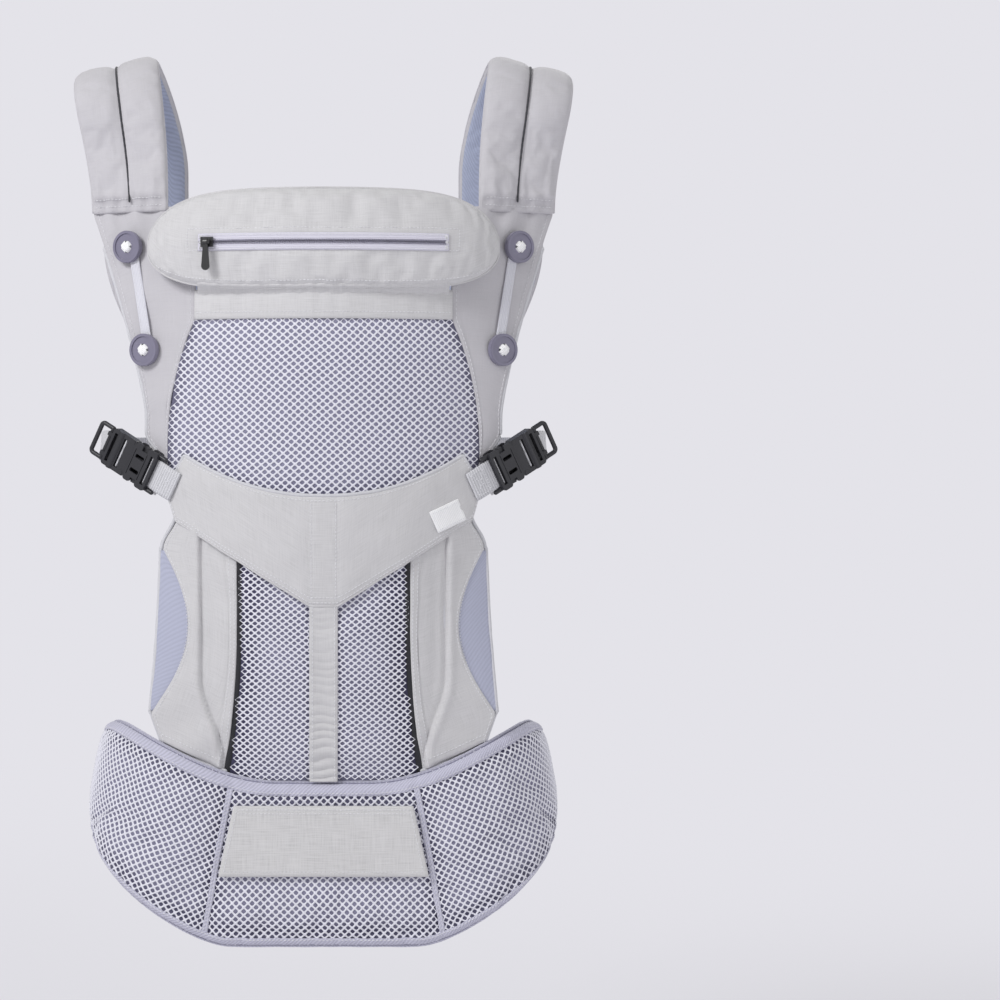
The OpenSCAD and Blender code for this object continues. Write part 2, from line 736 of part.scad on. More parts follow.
// Across the strap, towards the wearer's side: turned with the panel at the foot, sloping over the shoulder
function strap_across(d) =
    let(a = arch_angle(d), turn = mix(tan(28), 0.1, smooth(d / 120)) * cos(a / 2),
        c = clamp01(bend(d)), lean = bend_in / bend_run * 6 * c * (1 - c))
    unit([1, turn, -tan(13) * sin(a) - lean]);
function strap_half(d) = strap_w / 2 * mix(1, 0.62, smooth((d - strap_len + 70) / 70));
function strap_point(d, w, inward) =
    strap_mid(d) + strap_across(d) * w * strap_half(d) - strap_out(d) * inward;

strap_t = strap_foam_t / 2;

module strap_layer(out, inn, columns, trim = 0) {
    sheet(columns, strap_rows, function(s, t, k)
        let(d = mix(trim, strap_len - trim, t), w = (2 * s - 1) * (1 - trim / 40))
        strap_point(d, w, k == 0 ? out : inn));
}

module strap_cover() {
    color(fabric) strap_layer(-strap_t - 2, -strap_t - 0.5, 4);
}

module strap_foams() {
    color(foam_white) pair() strap_layer(-strap_t, strap_t, 4, trim = 1.5);
}

module strap_liners() {
    color(liner_blue) pair() strap_layer(strap_t + 0.5, strap_t + 2, 4);
}

// Cord along the middle of the strap, which the chest strap's glides ride on
cord_out = strap_t + 2.4;
cord_w = 2.4;
module strap_pipings() {
    color(plastic_black) pair() sheet(1, strap_rows, function(s, t, k)
        let(d = mix(8, strap_len - 40, t), p = strap_point(d, 0, k == 0 ? -cord_out - cord_w : -cord_out))
        p + strap_across(d) * cord_w * (s - 0.5));
}

// ---------------------------------------------------------------- chest strap, behind

chest_z = 535;
chest_k = 0.8;
chest_web = 20;
back_slope = (tip_y - arch_y - arch_r) / back_len;
glide_y = arch_y + arch_r + back_slope * (arch_z - chest_z) + strap_t + 2;
chest_y = glide_y + 5.8;
chest_buckle_y = chest_y + 0.8 + 4 * chest_k + 0.5;
glide_half = 9;

module chest_glides() {
    lean = atan(back_slope);
    long = 40;
    edge = 5.2;
    color(plastic_black) pair() translate([strap_x, glide_y, chest_z]) difference() {
        translate([-glide_half, 1, -13]) cube([2 * glide_half, 8.8, 26]);
        translate([-glide_half - 1, 4.6, -chest_web / 2 - 0.6])
            cube([2 * glide_half + 2, 2.6, chest_web + 1.2]);
        rotate([lean, 0, 0]) translate([-cord_w / 2 - 0.4, -3, -long / 2]) cube([cord_w + 0.8, 6.4, long]);
        for (x = [-1, 1]) translate([x * (glide_half + 3), 5, 0])
            rotate([0, 0, 45]) cube([edge, edge, long], center = true);
    }
}

module chest_webbing() {
    z0 = chest_z - chest_web / 2;
    web_end = strap_x + 13;
    color(fabric) {
        translate([-web_end, chest_y - 0.8, z0]) cube([web_end - 26, 1.6, chest_web]);
        sheet(14, 1, function(s, t, k)
            let(x = mix(web_end, 10, s), y = chest_y + 4.5 * (1 - smooth((x - 16) / 60)))
            [x, y + 0.8 - k * 1.6, z0 + chest_web * t]);
    }
}

// Places a buckle behind the wearer, its plug leaving along -X
module behind(y, z, k, x0) {
    translate([x0, y, z]) rotate([0, 0, 180]) scale(k) children();
}

module at_chest() {
    behind(chest_buckle_y, chest_z, chest_k, 9) children();
}

module at_waist() {
    behind(buckle_y + waist_plug_shift, web_z, waist_k, waist_buckle_x) children();
}

// ---------------------------------------------------------------- nodes

module left_hand() {
    mirror([1, 0, 0]) children();
}
module flipped() {
    mirror([0, 0, 1]) children();
}
module side_part() {
    color(plastic_black) at_side() children();
}
module chest_part() {
    color(plastic_black) at_chest() children();
}
module waist_part() {
    color(plastic_black) at_waist() children();
}

waist_foam();
waist_mesh_centre();
left_hand() waist_wing_mesh();  // waist_mesh_left
waist_wing_mesh();  // waist_mesh_right
waist_lining();
pouch_patch();
waist_webbing();
waist_part() socket(waist_buckle_web);  // waist_socket
waist_part() plug(waist_buckle_web);  // waist_plug
waist_part() prong(waist_buckle_web);  // waist_prong_upper
waist_part() flipped() prong(waist_buckle_web);  // waist_prong_lower
lower_mesh();
left_hand() side_panel();  // side_panel_left
side_panel();  // side_panel_right
side_inserts();
edge_bindings();
seat_band();
centre_strip();
upper_mesh();
top_band();
left_hand() yoke();  // yoke_left
yoke();  // yoke_right
panel_lining();
label_tag();
button_tapes();
buttons();
side_tabs();
buckle_pads();
left_hand() side_part() socket(side_web);  // side_socket_left
side_part() socket(side_web);  // side_socket_right
left_hand() side_part() plug(side_web, true);  // side_plug_left
side_part() plug(side_web, true);  // side_plug_right
left_hand() side_part() prong(side_web);  // side_prong_left_upper
left_hand() side_part() flipped() prong(side_web);  // side_prong_left_lower
side_part() prong(side_web);  // side_prong_right_upper
side_part() flipped() prong(side_web);  // side_prong_right_lower
left_hand() side_part() finger_loop();  // finger_loop_left
side_part() finger_loop();  // finger_loop_right
left_hand() side_webbing();  // side_webbing_left
side_webbing();  // side_webbing_right
headrest_front();
headrest_back();
headrest_foam();
headrest_loops();
zip_tape();
zip_slider();
zip_pull();
left_hand() strap_cover();  // strap_cover_left
strap_cover();  // strap_cover_right
strap_foams();
strap_liners();
strap_pipings();
strap_webbings();
chest_glides();
chest_webbing();
chest_part() socket(side_web);  // chest_socket
chest_part() plug(side_web);  // chest_plug
chest_part() prong(side_web);  // chest_prong_upper
chest_part() flipped() prong(side_web);  // chest_prong_lower
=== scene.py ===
"""Looks of the soft baby carrier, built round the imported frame. Shapes are worked out in millimetres."""
import bpy
import math
import numpy as np
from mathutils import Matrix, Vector, noise


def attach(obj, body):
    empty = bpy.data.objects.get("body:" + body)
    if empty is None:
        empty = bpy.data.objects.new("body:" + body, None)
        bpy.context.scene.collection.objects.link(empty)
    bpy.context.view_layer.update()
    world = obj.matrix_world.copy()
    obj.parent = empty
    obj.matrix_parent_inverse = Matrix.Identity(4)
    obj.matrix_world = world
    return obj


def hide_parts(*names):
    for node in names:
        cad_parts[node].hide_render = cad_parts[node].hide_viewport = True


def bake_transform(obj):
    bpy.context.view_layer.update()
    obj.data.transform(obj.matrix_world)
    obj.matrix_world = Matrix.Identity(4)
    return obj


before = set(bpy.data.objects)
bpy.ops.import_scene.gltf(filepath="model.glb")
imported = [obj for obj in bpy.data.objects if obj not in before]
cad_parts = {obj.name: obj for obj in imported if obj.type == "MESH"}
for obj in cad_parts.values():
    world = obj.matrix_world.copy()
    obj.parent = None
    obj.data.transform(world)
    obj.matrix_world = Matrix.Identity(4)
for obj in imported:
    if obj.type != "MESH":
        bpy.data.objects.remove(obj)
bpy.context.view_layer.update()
MM = 0.001
HANDS = ((1, "right"), (-1, "left"))
UP = np.array([0, 0, 1.0])
span = np.linspace


# ------------------------------------------------------------------ small functions

def clamp01(t):
    return np.clip(t, 0.0, 1.0)


def smooth(t):
    c = clamp01(t)
    return c * c * (3 - 2 * c)


def mix(a, b, t):
    return a + (b - a) * t


def bump(t, width):
    """1 at t = 0, falling smoothly to 0 over width."""
    return np.exp(-(np.asarray(t, float) / width) ** 2)


def dome(v, power, least=0.0):
    """1 at v = 0, rounding off towards v = -1 and 1. A higher power is squarer."""
    return np.sqrt(np.maximum(least, 1 - np.abs(v) ** power))


def within(edge, count):
    """Evenly spaced shares from edge to 1 - edge."""
    return span(edge, 1 - edge, count)


def stack(*parts):
    return np.stack(np.broadcast_arrays(*parts), axis=-1).astype(float)


def unit(v):
    return v / np.maximum(np.linalg.norm(v, axis=-1, keepdims=True), 1e-9)


def turned(a, b, turn):
    return a * math.cos(turn) - b * math.sin(turn), a * math.sin(turn) + b * math.cos(turn)


def wobble(points, scale, seed=0.0):
    """Soft noise from about -1 to 1 at each point, with features about scale mm across."""
    flat = (points / scale).reshape(-1, 3) + seed
    return np.array([noise.noise(Vector(p)) for p in flat]).reshape(points.shape[:-1])


def grid_st(columns, rows):
    """s to the right and t upwards, from 0 to 1, as two arrays of rows by columns."""
    return np.meshgrid(span(0, 1, columns), span(0, 1, rows))


def grid_normals(grid):
    """Unit normals of a grid whose columns run right and rows run up, seen from outside."""
    return unit(np.cross(np.gradient(grid, axis=1), np.gradient(grid, axis=0)))


def raised(grid, amount):
    return grid + grid_normals(grid) * np.asarray(amount)[..., None]


def mirrored(points, side):
    return points * np.array([side, 1, 1])


def handed(grid, side):
    """A right-hand grid, or its mirror image with the columns still running right."""
    return mirrored(grid, side)[:, ::side]


# ------------------------------------------------------------------ the CAD's surfaces, in mm

PATCH_Y = 2.8
WAIST_FLAT, WAIST_R, WING_END, FLARE_Z = 90.0, 105.0, 345.0, 99.0
HALF_TURN = math.pi * WAIST_R
PAD_D = 9.6
PANEL_R, PANEL_TURN = 220.0, math.radians(30)
PANEL_RUN = PANEL_R * math.sin(PANEL_TURN)
PANEL_FOOT, PANEL_HEAD, FOLD_Z, PANEL_MID = 49.0, 560.0, 471.0, 446.0
STRIP_HALF, SEAT_HALF = 11.5, 133.4
HEAD_W, HEAD_T, HEAD_R, HEAD_MID_Z = 150.0, 26.0, 300.0, 507.0
ZIP_HALF, ZIP_Z = 106.0, 510.0
ARCH_R, ARCH_Y, ARCH_Z = 56.0, 136.0, 615.0
STRAP_FOOT, STRAP_TIP, STRAP_W = 541.0, 350.0, 76.0
BEND_Z, BEND_RUN, BEND_IN = 520.0, 120.0, 37.0
SIDE_AT, SIDE_SLOPE, SIDE_WEB = np.array([146.0, 22.4, 314.0]), math.radians(28.4), 25.0


def band_top(u):
    a = np.abs(u)
    return 49 + 46 * smooth((a - 40) / 170) - 35 * smooth((a - 210) / 125)


def band_bottom(u):
    return -91 + 112 * smooth((np.abs(u) - 75) / 215)


def band_z(u, t):
    lo, hi = band_bottom(u), band_top(u)
    tip = clamp01((np.abs(u) - (WING_END - 24)) / 24)
    return (lo + hi) / 2 + (hi - lo) / 2 * np.sqrt(1.02 - tip * tip) * (2 * t - 1)


def band_point(u, z, d):
    """Point on the waist loop: u along it, z up, d behind its outer face."""
    past = np.abs(u) - WAIST_FLAT
    a, back = np.clip(past, 0, HALF_TURN) / WAIST_R, np.maximum(0, past - HALF_TURN)
    out = 0.18 * (FLARE_Z - z) * smooth(past / 120) - d
    x = np.minimum(np.abs(u), WAIST_FLAT) + WAIST_R * np.sin(a) - back + np.sin(a) * out
    y = PATCH_Y + WAIST_R * (1 - np.cos(a)) - np.cos(a) * out
    return stack(np.where(u < 0, -x, x), y, z)


def plan(x):
    a = np.abs(x)
    inner = PANEL_R - np.sqrt(PANEL_R ** 2 - np.minimum(a, PANEL_RUN) ** 2)
    return inner + math.tan(PANEL_TURN) * np.maximum(0, a - PANEL_RUN)


def middle_y(z):
    return 12 - 32 * np.sin(np.pi * clamp01((z - PANEL_FOOT) / (PANEL_HEAD - PANEL_FOOT)))


def on_panel(x, z, ahead=0.0):
    gain = mix(0.42, 1, smooth((z - 60) / 200))
    return stack(x, middle_y(z) + gain * plan(x) - ahead, z)


def above_band(x):
    a = np.abs(x)
    u = np.where(a <= WAIST_FLAT, a, WAIST_FLAT + WAIST_R * np.arcsin(clamp01((a - WAIST_FLAT) / WAIST_R)))
    return band_top(u) + 1.5


def mesh_edge(z):
    return 133 - 24 * clamp01((z - 330) / 116) ** 2.2


def yoke_inner(z):
    return np.where(z < PANEL_MID, mesh_edge(z) + 1, mix(110, 132, smooth((z - FOLD_Z) / 78)))


def yoke_outer(z):
    upper = 152 + 50 * clamp01((z - 365) / 175) ** 1.25
    return np.where(z < 350, mix(134, 152, smooth((z - 318) / 32)), upper)


def seat_upper(x):
    a = np.abs(x)
    return np.where(a < 119, 296 + 34 * (a / 119) ** 2.2, mix(330, 301, (a - 119) / 15))


def seat_lower(x):
    a = np.abs(x)
    return np.where(a < 126, 202 + np.maximum(0, a - STRIP_HALF) * 0.62, mix(273, 299, (a - 126) / 8))


def binding_x(z):
    return 70 + 11 * clamp01((190 - z) / 132) ** 2


def insert_inner(z):
    t = clamp01((z - 108) / 141)
    return mix(148, 138, t) - 27 * np.sin(np.pi * t)


def insert_outer(z):
    t = clamp01((z - 108) / 141)
    return mix(149, 139.5, t) - 1.5 * np.sin(np.pi * t)


def below_insert(z):
    return mix(139, 148, clamp01((z - 83) / 25))


def panel_outer(z):
    upper = mix(137, 124, smooth((z - 249) / 30))
    return np.where(z < 108, below_insert(z), np.where(z < 249, insert_inner(z) - 0.8, upper))


def outer_edge(z):
    """Outline of the whole panel, from the waistband up to the straps."""
    low = np.where(z < 108, below_insert(z), insert_outer(z))
    middle = mix(138.5, 125.5, smooth((z - 249) / 32))
    behind = mix(124.0, yoke_outer(z), smooth((z - 296) / 30))
    return np.where(z < 249, low, np.where(z < 300, middle, behind))


def head_upper(x):
    return HEAD_MID_Z + 49 * dome(x / (HEAD_W + 0.3), 4.6, 0.001)


def head_lower(x):
    return HEAD_MID_Z - 36 * dome(x / (HEAD_W + 0.3), 5, 0.001)


def head_y(x, z):
    return middle_y(z) - 6 + HEAD_R - np.sqrt(HEAD_R ** 2 - x * x)


ZIP_CENTRE_Y = float(middle_y(ZIP_Z)) - 6 + HEAD_R
ZIP_R = HEAD_R + HEAD_T / 2 + 1.6
ZIP_ANGLE = math.asin(ZIP_HALF / ZIP_R)
ARCH_LEN, FRONT_LEN, BACK_LEN = math.pi * ARCH_R, ARCH_Z - STRAP_FOOT, ARCH_Z - STRAP_TIP
STRAP_LEN = FRONT_LEN + ARCH_LEN + BACK_LEN
CROWN = FRONT_LEN + ARCH_LEN / 2


def bend(d):
    """Share of the way that the straps run together behind the panel."""
    return clamp01((d - FRONT_LEN - ARCH_LEN - ARCH_Z + BEND_Z) / BEND_RUN)


def arch(d):
    """How far the strap has turned over the shoulder, from 0 to half a turn."""
    return np.pi * clamp01((d - FRONT_LEN) / ARCH_LEN)


def strap_mid(d):
    a, front, back = arch(d), np.minimum(d, FRONT_LEN), np.maximum(0, d - FRONT_LEN - ARCH_LEN)
    x = mix(169, 185, smooth(d / CROWN)) - 22 * smooth((d - CROWN) / (ARCH_LEN / 2 + 30))
    y = mix(68, ARCH_Y - ARCH_R, smooth(front / FRONT_LEN)) + ARCH_R * (1 - np.cos(a)) + 14 * back / BACK_LEN
    return stack(x - BEND_IN * smooth(bend(d)), y, STRAP_FOOT + front + ARCH_R * np.sin(a) - back)


def strap_out(d):
    return stack(0 * d, -np.cos(arch(d)), np.sin(arch(d)))


def strap_across(d):
    a = arch(d)
    turn = mix(math.tan(math.radians(28)), 0.1, smooth(d / 120)) * np.cos(a / 2)
    lean = BEND_IN / BEND_RUN * 6 * bend(d) * (1 - bend(d))
    return unit(stack(1 + 0 * a, turn, -math.tan(math.radians(13)) * np.sin(a) - lean))


def strap_point(d, w, out=0.0):
    """Point on a strap: d along it, w from -1 to 1 across it, out in front of its middle layer."""
    d, w, out = np.broadcast_arrays(d, w, out)
    half = STRAP_W / 2 * mix(1, 0.62, smooth((d - STRAP_LEN + 70) / 70))
    return strap_mid(d) + strap_across(d) * (w * half)[..., None] + strap_out(d) * out[..., None]


def side_vector(v):
    v = np.asarray(v, float)
    x, z = turned(v[..., 0], v[..., 2], SIDE_SLOPE)
    return stack(*turned(x, v[..., 1], PANEL_TURN), z)


def side_point(v):
    """Point on a side buckle: v out along it, behind its face and up across it."""
    return SIDE_AT + side_vector(v)


# ------------------------------------------------------------------ materials

def linear(r, g, b):
    """Linear colour of an sRGB colour given from 0 to 255."""
    c = np.array([r, g, b]) / 255
    return tuple(np.where(c <= 0.04045, c / 12.92, ((c + 0.055) / 1.055) ** 2.4)) + (1.0,)


def shade(colour, factor):
    return tuple(min(1.0, c * factor) for c in colour[:3]) + (1.0,)


class Recipe:
    """One procedural material: a small way to add nodes and join them."""

    def __init__(self, name, roughness=0.8, sheen=0.0, **inputs):
        self.material = bpy.data.materials.new(name)
        self.material.use_nodes = True
        self.nodes, self.links = self.material.node_tree.nodes, self.material.node_tree.links
        self.shader = self.nodes["Principled BSDF"]
        inputs.update({"Sheen Weight": sheen, "Sheen Roughness": 0.45})
        self.set(self.shader, Roughness=roughness, **inputs)

    def set(self, node, **inputs):
        """Sets or joins inputs by name, or by number after an underscore."""
        for key, value in inputs.items():
            socket = node.inputs[int(key[1:]) if key[0] == "_" else key]
            if isinstance(value, bpy.types.NodeSocket):
                self.links.new(value, socket)
            else:
                socket.default_value = value

    def add(self, kind, out=0, props=None, **inputs):
        node = self.nodes.new("ShaderNode" + kind)
        for key, value in (props or {}).items():
            setattr(node, key, value)
        self.set(node, **inputs)
        return node.outputs[out]

    def math(self, operation, a, b):
        return self.add("Math", props={"operation": operation}, _0=a, _1=b)

    def times(self, a, b):
        return self.math("MULTIPLY", a, b)

    def plus(self, a, b):
        return self.math("ADD", a, b)

    def where(self, source="UV", scale=(1, 1, 1), turn=0.0):
        """Coordinates in mm: along the cloth, or the object's own."""
        coords = self.add("TexCoord", out=source)
        return self.add("Mapping", Vector=coords, Scale=tuple(s / MM for s in scale), Rotation=(0, 0, turn))

    def noise(self, vector, scale, detail=2.0):
        return self.add("TexNoise", Vector=vector, Scale=scale, Detail=detail)

    def wave(self, vector, pitch, distortion=0.0, direction="X"):
        """Ridges every pitch mm."""
        return self.add("TexWave", out="Fac", props={"bands_direction": direction}, Vector=vector,
                        Scale=0.3142 / pitch, Distortion=distortion)

    def ramp(self, factor, stops):
        node = self.nodes.new("ShaderNodeValToRGB")
        for index, (place, colour) in enumerate(stops):
            stop = node.color_ramp.elements[index] if index < 2 else node.color_ramp.elements.new(place)
            stop.position, stop.color = place, colour
        self.links.new(factor, node.inputs[0])
        return node.outputs[0]

    def blend(self, factor, a, b):
        return self.add("Mix", out=2, props={"data_type": "RGBA"}, _0=factor, _6=a, _7=b)

    def finish(self, colour, height=None, strength=0.3, distance=0.0003):
        self.set(self.shader, **{"Base Color": colour})
        if height is not None:
            normal = self.add("Bump", Height=height, Strength=strength, Distance=distance)
            self.set(self.shader, Normal=normal)
        return self.material


def woven(name, colour, slub=0.10, pitch=0.9, sheen=0.25, strength=0.35):
    """Plain weave with fine slubs in both directions, as a chambray or linen has."""
    r = Recipe(name, 0.85, sheen)
    along, up, cloud = (r.noise(r.where(scale=scale), 1.0)
                        for scale in ((0.05, 1.3, 1.3), (1.3, 0.05, 0.05), (0.02, 0.02, 0.02)))
    grain = r.plus(r.times(along, 0.55), r.times(up, 0.45))
    grain = r.plus(r.times(grain, 0.85), r.times(cloud, 0.15))
    tone = r.ramp(grain, [(0.30, shade(colour, 1 - slub)), (0.72, shade(colour, 1 + 0.6 * slub)),
                          (0.5, colour)])
    weave = r.times(r.wave(r.where(), pitch), r.wave(r.where(), pitch, direction="Y"))
    return r.finish(tone, r.plus(weave, r.times(grain, 1.4)), strength)


def thread_mesh(name, colour, dark):
    """Knitted thread of the net: brighter on its crown, with fine twist."""
    r = Recipe(name, 0.6, 0.35)
    twist = r.wave(r.where("Object", turn=0.6), 0.6284, 1.5)
    tone = r.blend(r.times(twist, 0.5), colour, dark)
    tone = r.blend(r.times(r.noise(r.where("Object"), 0.4), 0.25), tone, dark)
    return r.finish(tone, twist, 0.25, 0.0002)


def ground_mesh(name, light, dark):
    """Inner layer of the spacer mesh: blended towards its dark colour by the piece's shade attribute, which
    holds painted shade near edges and seams.
    """
    r = Recipe(name, 0.9, 0.1)
    share = r.add("Attribute", out="Fac", props={"attribute_name": "shade"})
    speck = r.add("TexVoronoi", Vector=r.where("Object"), Scale=0.7)
    tone = r.blend(r.times(speck, 0.35), r.blend(share, light, dark), shade(dark, 0.7))
    return r.finish(tone, speck, 0.5, 0.0004)


def ribbed(name, colour, pitch, turn=0.0, strength=0.6, contrast=0.16):
    """Cloth with ribs across one direction: webbing, tape and the strap's liner."""
    r = Recipe(name, 0.75, 0.2)
    rib = r.wave(r.where(turn=turn), pitch)
    fine = r.wave(r.where(turn=turn + math.pi / 2), 0.7)
    cloud = r.noise(r.where(scale=(0.4, 0.4, 0.4)), 1.0)
    tone = r.ramp(rib, [(0.0, shade(colour, 1 - contrast)), (0.8, shade(colour, 1 + contrast * 0.5))])
    tone = r.blend(r.times(cloud, 0.3), tone, shade(colour, 0.88))
    return r.finish(tone, r.plus(rib, r.times(fine, 0.35)), strength, 0.0004)


def moulded(name, colour, roughness=0.42, grain=0.25, coat=0.0):
    """Moulded plastic: fine spark grain and faint flow marks."""
    r = Recipe(name, roughness, 0.0, **{"Coat Weight": coat, "Coat Roughness": 0.25})
    spark = r.noise(r.where("Object"), 2.2, 3.0)
    flow = r.noise(r.where("Object", (0.05, 0.2, 0.05)), 1.0)
    r.set(r.shader, Roughness=r.plus(r.times(spark, 0.16), roughness - 0.06))
    return r.finish(r.blend(r.times(flow, 0.5), colour, shade(colour, 1.5)), spark, grain, 0.0001)


GREY = woven("grey_cloth", linear(203, 202, 204), slub=0.14)
GREY_STRAP = woven("strap_cloth", linear(193, 191, 196), slub=0.07, pitch=0.7, sheen=0.3)
GREY_INNER = woven("lining_cloth", linear(204, 204, 209))
PATCH_CLOTH = woven("patch_cloth", linear(206, 205, 206), slub=0.22, pitch=1.3, strength=0.5)
INSERT = ribbed("insert_knit", linear(176, 179, 199), 3.2, 0.9, strength=0.25, contrast=0.07)
LINER = ribbed("liner_knit", linear(168, 175, 198), 3.0, -0.75, strength=0.5, contrast=0.13)
WEBBING = ribbed("webbing", linear(204, 204, 209), 2.4, contrast=0.2)
BUTTON_TAPE = ribbed("button_tape", linear(218, 218, 227), 1.6, contrast=0.10)
TAPE = ribbed("white_tape", linear(250, 250, 254), 1.6, contrast=0.10)
ZIP_CLOTH = ribbed("zip_cloth", linear(218, 216, 229), 1.8, math.pi / 2, contrast=0.07)
PIPING = ribbed("edge_piping", linear(196, 195, 213), 2.4, 0.8, strength=0.7)
BINDING = ribbed("black_binding", linear(34, 34, 40), 1.4, 0.5, strength=0.5, contrast=0.25)
CORD = ribbed("dark_cord", linear(58, 58, 64), 1.6, 0.8, strength=0.5, contrast=0.3)
NET = thread_mesh("net_thread", linear(238, 238, 245), linear(200, 199, 216))
GROUND = ground_mesh("net_ground", linear(142, 141, 164), linear(60, 58, 84))
STITCH = Recipe("stitch_thread", 0.6, 0.4).finish(linear(222, 222, 226))
BLACK = moulded("black_plastic", linear(40, 40, 45))
METAL = moulded("black_enamel", linear(36, 36, 38), 0.3, 0.1, 0.5)
BUTTON = moulded("button_plastic", linear(118, 115, 134), 0.34, 0.15, 0.35)
COIL = moulded("zip_coil", linear(118, 115, 134), 0.5, 0.1)

SLOTS = {"grey_fabric": (GREY, GREY_STRAP, GREY_INNER, PATCH_CLOTH, PIPING), "mesh_fabric": (NET, GROUND),
         "white_tape": (TAPE, BUTTON_TAPE, STITCH), "insert_fabric": (INSERT,), "liner_fabric": (LINER,),
         "webbing": (WEBBING,), "black_binding": (BINDING, CORD), "zip_tape": (ZIP_CLOTH, COIL)}
SLOT_OF = {material.name: slot for slot, group in SLOTS.items() for material in group}


# ------------------------------------------------------------------ making meshes

def build(name, points, faces, material, body="carrier", nodes="", uv=None, dark=None, flip=False):
    """A mesh from points in mm, with smooth faces, riding on body and standing for the CAD nodes."""
    faces = [tuple(f[::-1]) if flip else tuple(f) for f in faces]
    mesh = bpy.data.meshes.new(name)
    mesh.from_pydata((points.reshape(-1, 3) * MM).tolist(), [], faces)
    mesh.polygons.foreach_set("use_smooth", [True] * len(mesh.polygons))
    if uv is not None:
        corner = np.zeros(len(mesh.loops), int)
        mesh.loops.foreach_get("vertex_index", corner)
        mesh.uv_layers.new(name="UVMap").data.foreach_set("uv", (uv.reshape(-1, 2)[corner] * MM).ravel())
    # dark is each point's share of painted shade, kept in the shade attribute
    if dark is not None:
        mesh.attributes.new("shade", "FLOAT", "POINT").data.foreach_set("value", dark.astype(np.float32))
    mesh.materials.append(material)
    piece = bpy.data.objects.new(name, mesh)
    bpy.context.scene.collection.objects.link(piece)
    if body:
        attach(piece, body)
    if nodes:
        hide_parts(*nodes.split())
    return piece


def grid_quads(rows, columns, start=0):
    r, c = np.meshgrid(np.arange(rows - 1), np.arange(columns - 1), indexing="ij")
    o = (start + r * columns + c).ravel()
    return np.stack([o, o + 1, o + columns + 1, o + columns], axis=1)


def ring_faces(count, sides):
    """Faces of a row of rings, then the two that close its ends."""
    r, c = np.meshgrid(np.arange(count - 1), np.arange(sides), indexing="ij")
    n = (c + 1) % sides
    faces = np.stack([r * sides + c, r * sides + n, (r + 1) * sides + n, (r + 1) * sides + c], -1)
    ends = [list(range(sides))[::-1], [(count - 1) * sides + i for i in range(sides)]]
    return faces.reshape(-1, 4).tolist() + ends


def circle(sides):
    return np.arange(sides) / sides * 2 * np.pi


def border(rows, columns):
    """Grid positions round the edge, anticlockwise from the lower left."""
    lower = [(0, c) for c in range(columns - 1)]
    right = [(r, columns - 1) for r in range(rows - 1)]
    upper = [(rows - 1, c) for c in range(columns - 1, 0, -1)]
    left = [(r, 0) for r in range(rows - 1, 0, -1)]
    return lower + right + upper + left


def cloth_uv(mid):
    """Lengths in mm along the rows and up the columns, for a weave that follows the cloth."""
    along = np.cumsum(np.linalg.norm(np.diff(mid, axis=1, prepend=mid[:, :1]), axis=-1), axis=1)
    along -= along[:, mid.shape[1] // 2][:, None]
    up = np.cumsum(np.linalg.norm(np.diff(mid, axis=0, prepend=mid[:1]), axis=-1), axis=0)
    return stack(along, up)


def sheet(name, mid, half, material, body="carrier", nodes="", rim=0.8, dark=None, back=None):
    """A closed piece of cloth round the surface mid, half thick to either side, with a round edge."""
    rows, columns = mid.shape[:2]
    normal = grid_normals(mid)
    thick = np.broadcast_to(half, (rows, columns))[..., None]
    behind = thick if back is None else back[..., None]
    index = np.array([r * columns + c for r, c in border(rows, columns)])
    centre, out = mid.reshape(-1, 3)[index], normal.reshape(-1, 3)[index]
    tangent = unit(np.roll(centre, -1, axis=0) - np.roll(centre, 1, axis=0))
    ring = centre + np.cross(tangent, out) * rim * thick.reshape(-1, 1)[index]
    count, ring_at = rows * columns, 2 * rows * columns
    k = np.arange(len(index))
    n = np.roll(k, -1)
    outer = np.stack([index[n], index[k], ring_at + k, ring_at + n], axis=1)
    inner = np.stack([ring_at + n, ring_at + k, count + index[k], count + index[n]], axis=1)
    behind_quads = grid_quads(rows, columns, count)[:, ::-1]
    faces = np.concatenate([grid_quads(rows, columns), behind_quads, outer, inner])
    front, rear = mid + normal * thick, mid - normal * behind
    points = np.concatenate([front.reshape(-1, 3), rear.reshape(-1, 3), ring])
    uv = cloth_uv(mid).reshape(-1, 2)
    if dark is not None:
        dark = np.concatenate([dark.ravel(), dark.ravel(), dark.ravel()[index]])
    uv = np.concatenate([uv, uv, uv[index]])
    return build(name, points, faces.tolist(), material, body, nodes, uv, dark)


def smoothed(piece):
    modifier = piece.modifiers.new("smooth", "SUBSURF")
    modifier.levels = modifier.render_levels = 1


def tube(name, path, radius, material, body="carrier", nodes="", sides=8, flat=None):
    """A round cord along path, with rounded ends. flat squeezes it along that direction."""
    along = unit(np.gradient(path, axis=0))
    one = unit(np.cross(along, np.array([0.3, 0.2, 0.93])))
    two = np.cross(along, one)
    radius = np.broadcast_to(radius, len(path)).astype(float)
    first, last = path[0] - along[0] * radius[0] * 0.8, path[-1] + along[-1] * radius[-1] * 0.8
    path = np.concatenate([[first], path, [last]])
    radius = np.concatenate([[radius[0] * 0.45], radius, [radius[-1] * 0.45]])
    one, two = (np.concatenate([a[:1], a, a[-1:]]) for a in (one, two))
    turn = circle(sides)
    ring = one[:, None] * np.cos(turn)[None, :, None] + two[:, None] * np.sin(turn)[None, :, None]
    if flat is not None:
        direction, share = np.asarray(flat[0], float), flat[1]
        ring = ring - (ring @ direction)[..., None] * direction * (1 - share)
    length = np.cumsum(np.linalg.norm(np.diff(path, axis=0, prepend=path[:1]), axis=-1))
    uv = stack(length[:, None], turn[None] * radius.mean())
    points = path[:, None] + ring * radius[:, None, None]
    return build(name, points, ring_faces(len(path), sides), material, body, nodes, uv)


